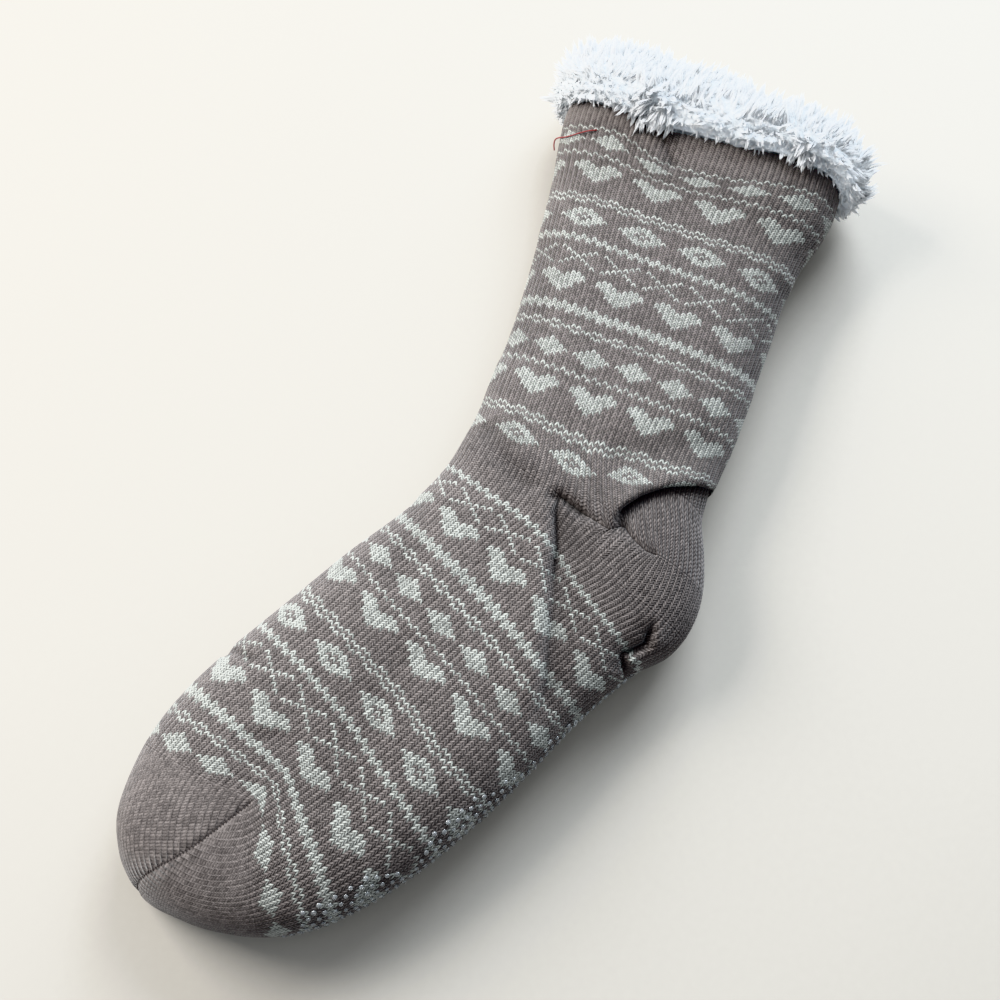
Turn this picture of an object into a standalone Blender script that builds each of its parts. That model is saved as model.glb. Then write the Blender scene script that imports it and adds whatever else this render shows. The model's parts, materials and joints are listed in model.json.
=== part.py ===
"""Slipper sock: a knitted sock lined with sherpa fleece, lying on its side, empty.

Frame: metres, +Z up. +X runs from the toe to the open end, the floor is z = 0, and the origin
lies under the middle of the whole sock.
"""

import math

import bmesh
import bpy
from mathutils import Matrix, Vector

# Driving sizes, metres.
FOOT_LENGTH = 0.257
FOOT_WIDTH = 0.111
LEG_LENGTH = 0.173
LEG_WIDTH = 0.104
BODY_HEIGHT = 0.037
KNIT_THICKNESS = 0.002
LINING_THICKNESS = 0.0048
SEAT_GAP = 0.0003
CUFF_LIFT = 0.0045

# How foot and leg lie to the row's +X, degrees.
FOOT_YAW = -13.0
LEG_YAW = 16.1

# The turned-out roll of pile at the cuff, metres.
ROLL_REACH = 0.022
ROLL_OUT = 0.0072
ROLL_IN = 0.0040
LIP_OVERHANG = 0.0045
LIP_GAP = 0.0005
LOCK_LENGTH = 0.0080
LOCK_WIDTH = 0.0120
LOCK_TIP = 0.26
LOCK_ROOT = 0.3

# Section shape: exponent of the rounded flat tube, and where its widest level lies.
ROUNDNESS = 2.7
EDGE_LEVEL = 0.47
FLOOR_PRESS = 1.07

# Mesh density.
RING_POINTS = 30
LOCK_SIDES = 5
LOCKS_AROUND = 24

# One row per cross-section, toe to cuff. Each joins a point of the instep or shin edge to a
# point of the sole or heel or calf edge. Lengths are measured from the ankle's front bend:
# for "foot" rows, along in shares of FOOT_LENGTH towards the toe, across in shares of FOOT_WIDTH
# towards the sole; for "leg" rows, along in shares of LEG_LENGTH towards the cuff, across in
# shares of LEG_WIDTH towards the calf. height and lift are shares of BODY_HEIGHT and CUFF_LIFT.
SECTION_COLUMNS = ("frame", "front_along", "front_across", "back_along", "back_across", "height", "lift")
SECTIONS = (
    ("foot", 0.767, 0.360, 0.767, 0.490, 0.36, 0.0),
    ("foot", 0.753, 0.285, 0.753, 0.560, 0.60, 0.0),
    ("foot", 0.721, 0.188, 0.721, 0.690, 0.80, 0.0),
    ("foot", 0.669, 0.110, 0.669, 0.826, 0.91, 0.0),
    ("foot", 0.603, 0.045, 0.603, 0.919, 0.97, 0.0),
    ("foot", 0.522, 0.009, 0.522, 0.976, 1.00, 0.0),
    ("foot", 0.428, -0.002, 0.428, 1.005, 1.01, 0.0),
    ("foot", 0.320, -0.003, 0.320, 1.011, 1.01, 0.0),
    ("foot", 0.219, -0.005, 0.219, 0.998, 1.00, 0.0),
    ("foot", 0.133, 0.004, 0.133, 0.980, 0.99, 0.0),
    ("foot", 0.074, -0.002, 0.056, 0.978, 0.98, 0.0),
    ("foot", 0.035, -0.012, 0.001, 0.985, 0.98, 0.0),
    ("foot", 0.004, -0.028, -0.049, 1.018, 0.98, 0.0),
    ("foot", -0.020, -0.047, -0.100, 0.998, 0.99, 0.0),
    ("foot", -0.043, -0.067, -0.147, 0.938, 0.99, 0.0),
    ("foot", -0.067, -0.090, -0.190, 0.842, 0.97, 0.0),
    ("foot", -0.094, -0.121, -0.229, 0.738, 0.95, 0.0),
    ("leg", 0.224, -0.002, 0.139, 0.966, 0.95, 0.0),
    ("leg", 0.300, 0.000, 0.245, 0.988, 0.95, 0.0),
    ("leg", 0.385, 0.000, 0.350, 0.996, 0.96, 0.0),
    ("leg", 0.480, -0.010, 0.455, 1.001, 0.98, 0.0),
    ("leg", 0.580, -0.025, 0.560, 1.003, 1.00, 0.0),
    ("leg", 0.680, -0.043, 0.660, 1.006, 1.01, 0.1),
    ("leg", 0.780, -0.062, 0.755, 1.020, 1.02, 0.3),
    ("leg", 0.860, -0.086, 0.830, 1.058, 1.04, 0.7),
    ("leg", 0.940, -0.104, 0.890, 1.080, 1.05, 1.0),
    ("leg", 1.000, -0.104, 0.950, 1.080, 1.05, 1.0),
)
TOE_TIP = {"along": 0.772, "across": 0.425, "level": 0.16}

# Soft folds pressed into the upper face, a row each: two ends in foot shares (along, across),
# half width in shares of FOOT_WIDTH and depth in shares of BODY_HEIGHT.
FOLD_COLUMNS = ("name", "start", "end", "half_width", "depth")
FOLDS = (
    ("above the heel", (-0.075, 0.38), (-0.225, 0.74), 0.085, 0.13),
    ("sole side of the ankle", (-0.030, 0.36), (0.100, 0.84), 0.100, 0.05),
    ("in front of the ankle", (-0.030, 0.10), (0.060, 0.30), 0.120, 0.05),
)

GREY_TAUPE = (0.235, 0.190, 0.165, 1.0)
FLEECE_WHITE = (0.820, 0.810, 0.790, 1.0)


def clear_scene():
    """Remove every object of the open scene."""
    for old in list(bpy.data.objects):
        bpy.data.objects.remove(old, do_unlink=True)


def make_material(name, colour, roughness):
    """A plain matte finish."""
    material = bpy.data.materials.new(name)
    material.use_nodes = True
    shader = material.node_tree.nodes["Principled BSDF"]
    shader.inputs["Base Color"].default_value = colour
    shader.inputs["Roughness"].default_value = roughness
    shader.inputs["Metallic"].default_value = 0.0
    return material


def axes(yaw):
    """Unit vectors along and across (to the left of) a direction turned yaw degrees from +X."""
    angle = math.radians(yaw)
    along = Vector((math.cos(angle), math.sin(angle), 0.0))
    across = Vector((-math.sin(angle), math.cos(angle), 0.0))
    return along, across


def foot_point(along_share, across_share):
    """A plan point from foot shares, measured from the ankle's front bend."""
    along, across = axes(FOOT_YAW)
    return -along * (along_share * FOOT_LENGTH) - across * (across_share * FOOT_WIDTH)


def leg_point(along_share, across_share):
    """A plan point from leg shares, measured from the ankle's front bend."""
    along, across = axes(LEG_YAW)
    return along * (along_share * LEG_LENGTH) - across * (across_share * LEG_WIDTH)


def signed_power(value, exponent):
    """Power that keeps the sign."""
    return math.copysign(abs(value) ** exponent, value)


def section_ring(row):
    """The outer ring of one cross-section, from the sole edge over the top to the front edge
    and back underneath, as points above a flat floor."""
    data = dict(zip(SECTION_COLUMNS, row))
    place = foot_point if data["frame"] == "foot" else leg_point
    front = place(data["front_along"], data["front_across"])
    back = place(data["back_along"], data["back_across"])
    middle = (front + back) / 2.0
    half_span = (front - back) / 2.0
    height = data["height"] * BODY_HEIGHT
    lift = data["lift"] * CUFF_LIFT
    edge = EDGE_LEVEL * height
    ring = []
    for index in range(RING_POINTS):
        angle = 2.0 * math.pi * (index + 0.5) / RING_POINTS
        sideways = -signed_power(math.cos(angle), 2.0 / ROUNDNESS)
        upward = signed_power(math.sin(angle), 2.0 / ROUNDNESS)
        if upward > 0.0:
            level = edge + (height - edge) * upward
        else:
            level = max(0.0, edge + edge * FLOOR_PRESS * upward)
        point = middle + half_span * sideways
        ring.append(Vector((point.x, point.y, level + lift)))
    return ring


def segment_distance(point, start, end):
    """Plan distance from a point to a segment, and how far along it the nearest place lies."""
    run = end - start
    share = max(0.0, min(1.0, (point - start).dot(run) / run.length_squared))
    return (point - (start + run * share)).length, share


def press_folds(ring):
    """Push the upper face of a ring down along the soft folds."""
    pressed = []
    for point in ring:
        plan = Vector((point.x, point.y, 0.0))
        drop = 0.0
        for row in FOLDS:
            fold = dict(zip(FOLD_COLUMNS, row))
            away, share = segment_distance(plan, foot_point(*fold["start"]), foot_point(*fold["end"]))
            reach = fold["half_width"] * FOOT_WIDTH
            drop += fold["depth"] * BODY_HEIGHT * math.exp(-((away / reach) ** 2))
        topness = max(0.0, min(1.0, (point.z / BODY_HEIGHT - EDGE_LEVEL) / (1.0 - EDGE_LEVEL)))
        pressed.append(point - Vector((0.0, 0.0, drop * topness)))
    return pressed


def outer_skin():
    """The sock's outer face as an open triangulated surface: closed at the toe, open at the cuff."""
    skin = bmesh.new()
    rings = []
    for row in SECTIONS:
        rings.append([skin.verts.new(point) for point in press_folds(section_ring(row))])
    tip_plan = foot_point(TOE_TIP["along"], TOE_TIP["across"])
    tip = skin.verts.new((tip_plan.x, tip_plan.y, EDGE_LEVEL * TOE_TIP["level"] * BODY_HEIGHT * 2.0))
    for near, far in zip(rings, rings[1:]):
        for index in range(RING_POINTS):
            after = (index + 1) % RING_POINTS
            skin.faces.new((near[index], near[after], far[after], far[index]))
    for index in range(RING_POINTS):
        skin.faces.new((tip, rings[0][(index + 1) % RING_POINTS], rings[0][index]))
    bmesh.ops.triangulate(skin, faces=list(skin.faces))
    bmesh.ops.recalc_face_normals(skin, faces=list(skin.faces))
    skin.normal_update()
    top = max(skin.verts, key=lambda vertex: vertex.co.z)
    if top.normal.z < 0.0:
        bmesh.ops.reverse_faces(skin, faces=list(skin.faces))
        skin.normal_update()
    return skin


def sunk_copy(skin, depth):
    """A copy of the open surface, moved inwards along its vertex normals."""
    copy = skin.copy()
    copy.normal_update()
    moved = [(vertex, vertex.co - vertex.normal * depth) for vertex in copy.verts]
    for vertex, place in moved:
        vertex.co = place
    return copy


def add_object(name, shape, material, collection):
    """A smooth-shaded object from a bmesh."""
    mesh = bpy.data.meshes.new(name)
    shape.to_mesh(mesh)
    shape.free()
    mesh.materials.append(material)
    mesh.shade_smooth()
    piece = bpy.data.objects.new(name, mesh)
    collection.objects.link(piece)
    return piece


def give_wall(piece, thickness):
    """Turn an open surface into a wall that grows inwards from it."""
    wall = piece.modifiers.new("wall", "SOLIDIFY")
    wall.thickness = thickness
    wall.offset = -1.0
    wall.use_even_offset = False
    wall.use_rim = True


def make_knit_sock(skin, collection):
    """The knitted sock: one wall from cuff to toe."""
    material = make_material("knit", GREY_TAUPE, 0.9)
    piece = add_object("knit_sock", skin.copy(), material, collection)
    give_wall(piece, KNIT_THICKNESS)
    return piece


def make_lining(skin, collection):
    """The fleece boot inside the knit."""
    material = make_material("fleece_inside", FLEECE_WHITE, 0.95)
    inside = sunk_copy(skin, KNIT_THICKNESS + SEAT_GAP)
    piece = add_object("sherpa_lining", inside, material, collection)
    give_wall(piece, LINING_THICKNESS)
    return piece


def cuff_frames():
    """For each ring point at the cuff: its place, the way out of the sock's end and the way
    outwards from the wall."""
    end_row = section_ring(SECTIONS[-1])
    middle = sum(end_row, Vector()) / RING_POINTS
    onward, _ = axes(LEG_YAW)
    frames = []
    for index, point in enumerate(end_row):
        before = end_row[index - 1]
        after = end_row[(index + 1) % RING_POINTS]
        outward = (after - before).cross(onward).normalized()
        if outward.dot(point - middle) < 0.0:
            outward.negate()
        frames.append((point, onward, outward))
    return frames


# The roll's cross-section, from the wall's inner face round the outside and back. Onward in
# shares of ROLL_REACH beyond the knit's edge, or of LIP_OVERHANG back over the knit when
# negative; outward in shares of ROLL_OUT past LIP_GAP, or of ROLL_IN past the lining's inner face
# when negative.
ROLL_PROFILE_COLUMNS = ("onward", "outward")
ROLL_PROFILE = (
    (0.00, -0.25), (0.00, 0.00), (-1.00, 0.00), (-1.00, 0.45), (0.00, 0.95), (0.45, 1.00),
    (0.80, 0.72), (1.00, 0.20), (0.98, -0.30), (0.76, -0.86), (0.40, -1.00), (0.12, -0.80),
)
# Rows of locks on the roll: where on its cross-section, and how far round they are shifted in
# shares of their spacing.
LOCK_COLUMNS = ("onward", "outward", "shift")
LOCK_ROWS = (
    (0.04, 0.92, 0.0),
    (0.46, 0.96, 0.5),
    (0.86, 0.42, 0.25),
)


def roll_point(frame, onward_share, outward_share):
    """A point of the roll's skin at one place around the cuff."""
    place, onward, outward = frame
    ahead = SEAT_GAP + onward_share * ROLL_REACH
    if onward_share < 0.0:
        ahead = onward_share * LIP_OVERHANG
    reach = LIP_GAP + ROLL_OUT * outward_share
    if outward_share < 0.0:
        reach = ROLL_IN * outward_share - (KNIT_THICKNESS + SEAT_GAP + LINING_THICKNESS)
    point = place + onward * ahead + outward * reach
    point.z = max(0.0, point.z)
    return point


def make_roll(collection):
    """The roll of pile as a plain ring, before its locks are fused on."""
    frames = cuff_frames()
    roll = bmesh.new()
    rings = []
    for frame in frames:
        rings.append([roll.verts.new(roll_point(frame, *row)) for row in ROLL_PROFILE])
    count = len(ROLL_PROFILE)
    for index, ring in enumerate(rings):
        after = rings[(index + 1) % len(rings)]
        for step in range(count):
            onward = (step + 1) % count
            roll.faces.new((ring[step], ring[onward], after[onward], after[step]))
    bmesh.ops.triangulate(roll, faces=list(roll.faces))
    bmesh.ops.recalc_face_normals(roll, faces=list(roll.faces))
    return add_object("sherpa_collar", roll, make_material("fleece_pile", FLEECE_WHITE, 0.95), collection)


def lock_mesh(base, direction, lean, length):
    """A tapered lock of pile whose root is sunk into the roll and whose tip leans over."""
    lock = bmesh.new()
    bmesh.ops.create_cone(
        lock, cap_ends=True, segments=LOCK_SIDES, radius1=LOCK_WIDTH / 2.0,
        radius2=LOCK_WIDTH * LOCK_TIP, depth=length)
    turn = direction.to_track_quat("Z", "Y").to_matrix().to_4x4()
    middle = base + direction * ((0.5 - LOCK_ROOT) * length)
    bmesh.ops.transform(lock, matrix=Matrix.Translation(middle) @ turn, verts=lock.verts)
    for vertex in lock.verts:
        tipness = max(0.0, (vertex.co - base).dot(direction) / length)
        vertex.co += lean * (tipness * length)
    bmesh.ops.recalc_face_normals(lock, faces=list(lock.faces))
    return lock


def frame_around(frames, turn_share):
    """The cuff's frame at a share of the way round."""
    around = turn_share * len(frames)
    low = int(around) % len(frames)
    high = (low + 1) % len(frames)
    mix = around - int(around)
    place = frames[low][0].lerp(frames[high][0], mix)
    outward = frames[low][2].lerp(frames[high][2], mix).normalized()
    return place, frames[low][1], outward


def fuse_locks(roll, cutters):
    """Union rows of locks onto the roll, so that its outline is tufted, clear of the floor."""
    frames = cuff_frames()
    number = 0
    for row in LOCK_ROWS:
        lock_row = dict(zip(LOCK_COLUMNS, row))
        for step in range(LOCKS_AROUND):
            frame = frame_around(frames, (step + lock_row["shift"]) / LOCKS_AROUND)
            _, onward, outward = frame
            base = roll_point(frame, lock_row["onward"], lock_row["outward"])
            if base.z < LOCK_LENGTH:
                continue
            direction = (outward * lock_row["outward"] + onward * (lock_row["onward"] - 0.4)).normalized()
            lean = onward * (0.25 * math.sin(2.4 * number))
            length = LOCK_LENGTH * (1.0 + 0.2 * math.sin(1.7 * number))
            lock = lock_mesh(base, direction, lean, length)
            cutter = add_object(f"lock_{number:02d}", lock, roll.data.materials[0], cutters)
            cutter.hide_render = True
            cutter.display_type = "WIRE"
            union = roll.modifiers.new(f"lock_{number:02d}", "BOOLEAN")
            union.operation = "UNION"
            union.solver = "EXACT"
            union.object = cutter
            number += 1


def centre_on_floor(pieces):
    """Move every mesh so that the whole stands on z = 0 over the origin."""
    points = [vertex.co for piece in pieces for vertex in piece.data.vertices]
    low = Vector([min(point[axis] for point in points) for axis in range(3)])
    high = Vector([max(point[axis] for point in points) for axis in range(3)])
    shift = Vector((-(low.x + high.x) / 2.0, -(low.y + high.y) / 2.0, -low.z))
    for piece in pieces:
        piece.data.transform(Matrix.Translation(shift))
    return shift


def main():
    """Build the sock."""
    clear_scene()
    parts = bpy.data.collections.new("slipper_sock")
    cutters = bpy.data.collections.new("cutters")
    for collection in (parts, cutters):
        bpy.context.scene.collection.children.link(collection)
    skin = outer_skin()
    make_knit_sock(skin, parts)
    make_lining(skin, parts)
    roll = make_roll(parts)
    fuse_locks(roll, cutters)
    skin.free()
    centre_on_floor(list(parts.objects) + list(cutters.objects))


main()
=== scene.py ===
"""Looks of the slipper sock: stitches, colour pattern, heel fold, gores, pile and grip dots.

Frame: metres, +Z up. +X runs from the toe to the open end and the floor is z = 0. The sock's
outer face is one surface with two coordinates. A station counts its cross-sections from the tip
of the toe (0) to the cuff's edge (27). A turn runs round a section: 0 at the instep edge, 1 at
the sole edge over the upper face, and on to 2 underneath.
"""
import json
import logging
import math
from dataclasses import dataclass, field
from enum import Enum

import bmesh
import bpy
import numpy as np
from bpy.types import Collection, Material, Mesh, Node, NodeSocket, NodeTree, Object
from mathutils import Matrix, Vector

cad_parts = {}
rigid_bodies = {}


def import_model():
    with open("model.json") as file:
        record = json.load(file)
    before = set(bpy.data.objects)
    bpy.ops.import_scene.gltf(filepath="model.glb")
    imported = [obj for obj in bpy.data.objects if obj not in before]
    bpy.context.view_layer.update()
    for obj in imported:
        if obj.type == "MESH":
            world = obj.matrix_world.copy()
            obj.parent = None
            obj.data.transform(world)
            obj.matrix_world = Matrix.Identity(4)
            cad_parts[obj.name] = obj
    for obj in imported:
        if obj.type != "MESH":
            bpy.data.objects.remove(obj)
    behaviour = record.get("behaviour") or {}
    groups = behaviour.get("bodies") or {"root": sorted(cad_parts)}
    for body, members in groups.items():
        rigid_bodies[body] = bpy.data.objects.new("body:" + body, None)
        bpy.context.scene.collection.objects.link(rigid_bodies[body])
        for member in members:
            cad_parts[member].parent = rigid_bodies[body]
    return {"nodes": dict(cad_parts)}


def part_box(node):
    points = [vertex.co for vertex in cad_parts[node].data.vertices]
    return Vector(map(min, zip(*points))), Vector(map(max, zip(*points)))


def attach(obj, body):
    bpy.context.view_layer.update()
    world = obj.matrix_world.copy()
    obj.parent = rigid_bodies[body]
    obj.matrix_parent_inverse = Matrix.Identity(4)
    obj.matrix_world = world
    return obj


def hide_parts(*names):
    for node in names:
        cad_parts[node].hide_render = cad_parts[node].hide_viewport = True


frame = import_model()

LOG = logging.getLogger("slipper_sock")
MM = 0.001
UPPER_FACE_END = 1.06
"""Turn up to which the folds and creases of the upper face reach round the sole edge."""
FLOOR_ROOM = 0.3 * MM
"""How far the pile stays off the floor."""
Points = np.ndarray
Row = tuple[float, ...]
Pair = tuple[float, float]
Triple = tuple[float, float, float]
Table = tuple[Pair, ...]


def linear(code: str) -> tuple[float, float, float, float]:
    """Turn an sRGB hex colour into a linear one.

    Args:
        code: The colour as "#rrggbb".

    Returns:
        Linear red, green, blue and an alpha of 1.
    """
    channels = []
    for start in (1, 3, 5):
        value = int(code[start:start + 2], 16) / 255.0
        low = value / 12.92
        high = ((value + 0.055) / 1.055) ** 2.4
        channels.append(low if value <= 0.04045 else high)
    return (*channels, 1.0)


def feed(tree: NodeTree, node: Node, inputs: dict) -> None:
    """Give a node's inputs values or links.

    Args:
        tree: The node tree.
        node: The node.
        inputs: Input name or number to a value, or to the socket that feeds it.
    """
    for key, value in inputs.items():
        if isinstance(value, NodeSocket):
            tree.links.new(value, node.inputs[key])
        else:
            node.inputs[key].default_value = value


def add_node(tree: NodeTree, kind: str, settings: dict | None = None, inputs: dict | None = None) -> Node:
    """Add a node with its settings, and give its inputs values or links.

    Args:
        tree: The node tree.
        kind: The node's type name.
        settings: Properties of the node.
        inputs: What feed takes.

    Returns:
        The new node.
    """
    node = tree.nodes.new(kind)
    for name, value in (settings or {}).items():
        setattr(node, name, value)
    feed(tree, node, inputs or {})
    return node


def new_material(name: str) -> tuple[Material, NodeTree, Node]:
    """Start a material.

    Args:
        name: The finish's name.

    Returns:
        The material, its tree and its Principled BSDF.
    """
    material = bpy.data.materials.new(name)
    material.use_nodes = True
    return material, material.node_tree, material.node_tree.nodes["Principled BSDF"]


class Yarn(Enum):
    """The two yarns of the knit, as the pattern's charts write them."""

    MAIN = "."
    LIGHT = "#"


class Motif(Enum):
    """Common knitting figures, charted a line a course, cuff end first."""

    HEART = (".##...##...", "####.####..", "#########..", ".#######...", "..#####....",
             "..#####....", "...###.....", "....#......")
    DIAMOND = ("...#....", "..###...", ".#####..", "#######.", ".#####..", "..###...", "...#....")
    RING = ("...###.....", "..#####....", ".###.###...", "###.#.###..", ".###.###...",
            "..#####....", "...###.....")
    LATTICE = ("#.....#.", ".#...#..", "..#.#...", "...#....", "..#.#...", ".#...#..", "#.....#.")
    COMB = ("#.", "##", ".#")
    LONG_COMB = ("#.", "##", "##", ".#")
    ZIGZAG = ("#.", ".#")
    CHAIN = ("##..", "..##", "##..")
    LONG_CHAIN = ("##..", "..##", "##..", "..##")


class Frame(Enum):
    """Which limb a cross-section is measured along."""

    FOOT = "foot"
    LEG = "leg"


@dataclass
class Section:
    """One cross-section, in shares of its limb's length and width from the ankle's front bend.

    Height is a share of the body's height and lift a share of the cuff's lift.
    """

    frame: Frame
    front_along: float
    front_across: float
    back_along: float
    back_across: float
    height: float
    lift: float = 0.0


FOOT, LEG = Frame.FOOT, Frame.LEG
SECTIONS = (
    Section(FOOT, 0.772, 0.425, 0.772, 0.425, 0.00, 1.25),
    Section(FOOT, 0.767, 0.360, 0.767, 0.490, 0.36),
    Section(FOOT, 0.753, 0.285, 0.753, 0.560, 0.60),
    Section(FOOT, 0.721, 0.188, 0.721, 0.690, 0.80),
    Section(FOOT, 0.669, 0.110, 0.669, 0.826, 0.91),
    Section(FOOT, 0.603, 0.045, 0.603, 0.919, 0.97),
    Section(FOOT, 0.522, 0.009, 0.522, 0.976, 1.00),
    Section(FOOT, 0.428, -0.002, 0.428, 1.005, 1.01),
    Section(FOOT, 0.320, -0.003, 0.320, 1.011, 1.01),
    Section(FOOT, 0.219, -0.005, 0.219, 0.998, 1.00),
    Section(FOOT, 0.133, 0.004, 0.133, 0.980, 0.99),
    Section(FOOT, 0.074, -0.002, 0.056, 0.978, 0.98),
    Section(FOOT, 0.035, -0.012, 0.001, 0.985, 0.98),
    Section(FOOT, 0.004, -0.028, -0.049, 1.018, 0.98),
    Section(FOOT, -0.020, -0.047, -0.100, 0.998, 0.99),
    Section(FOOT, -0.043, -0.067, -0.147, 0.938, 0.99),
    Section(FOOT, -0.067, -0.090, -0.190, 0.842, 0.97),
    Section(FOOT, -0.094, -0.121, -0.229, 0.738, 0.95),
    Section(LEG, 0.224, -0.002, 0.139, 0.966, 0.95),
    Section(LEG, 0.300, 0.000, 0.245, 0.988, 0.95),
    Section(LEG, 0.385, 0.000, 0.350, 0.996, 0.96),
    Section(LEG, 0.480, -0.010, 0.455, 1.001, 0.98),
    Section(LEG, 0.580, -0.025, 0.560, 1.003, 1.00),
    Section(LEG, 0.680, -0.043, 0.660, 1.006, 1.01, 0.1),
    Section(LEG, 0.780, -0.062, 0.755, 1.020, 1.02, 0.3),
    Section(LEG, 0.860, -0.086, 0.830, 1.058, 1.04, 0.7),
    Section(LEG, 0.940, -0.104, 0.890, 1.080, 1.05, 1.0),
    Section(LEG, 1.000, -0.104, 0.950, 1.080, 1.05, 1.0),
)
CUFF_STATION = float(len(SECTIONS) - 1)


def smooth_steps(values: Points, passes: int, closed: bool) -> Points:
    """Even out a row of numbers.

    Args:
        values: The numbers, along the first axis.
        passes: How often each is averaged with its neighbours.
        closed: Whether the last is next to the first. Otherwise both ends stay.

    Returns:
        The smoothed numbers.
    """
    out = np.array(values, float)
    for _ in range(passes):
        mean = (np.roll(out, 1, axis=0) + 2.0 * out + np.roll(out, -1, axis=0)) / 4.0
        if not closed:
            mean[0] = out[0]
            mean[-1] = out[-1]
        out = mean
    return out


def through(knots: Points, where: Points) -> Points:
    """Catmull-Rom curve through rows of knots.

    Args:
        knots: The knots, a row each.
        where: Places along the curve, counted in knots.

    Returns:
        A row for each place.
    """
    count = len(knots)
    low = np.clip(np.floor(where).astype(int), 0, count - 2)
    mix = (where - low)[:, None]
    rows = [knots[np.clip(low + step, 0, count - 1)] for step in (-1, 0, 1, 2)]
    linear_part = (rows[2] - rows[0]) * mix
    square = (2.0 * rows[0] - 5.0 * rows[1] + 4.0 * rows[2] - rows[3]) * mix ** 2
    cube = (3.0 * rows[1] - rows[0] - 3.0 * rows[2] + rows[3]) * mix ** 3
    return 0.5 * (2.0 * rows[1] + linear_part + square + cube)


def plan_axes(yaw: float) -> tuple[Points, Points]:
    """Unit vectors along, and to the left of, a direction turned from +X.

    Args:
        yaw: The turn in degrees.

    Returns:
        Both vectors, flat.
    """
    angle = math.radians(yaw)
    return (np.array([math.cos(angle), math.sin(angle), 0.0]),
            np.array([-math.sin(angle), math.cos(angle), 0.0]))


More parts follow.
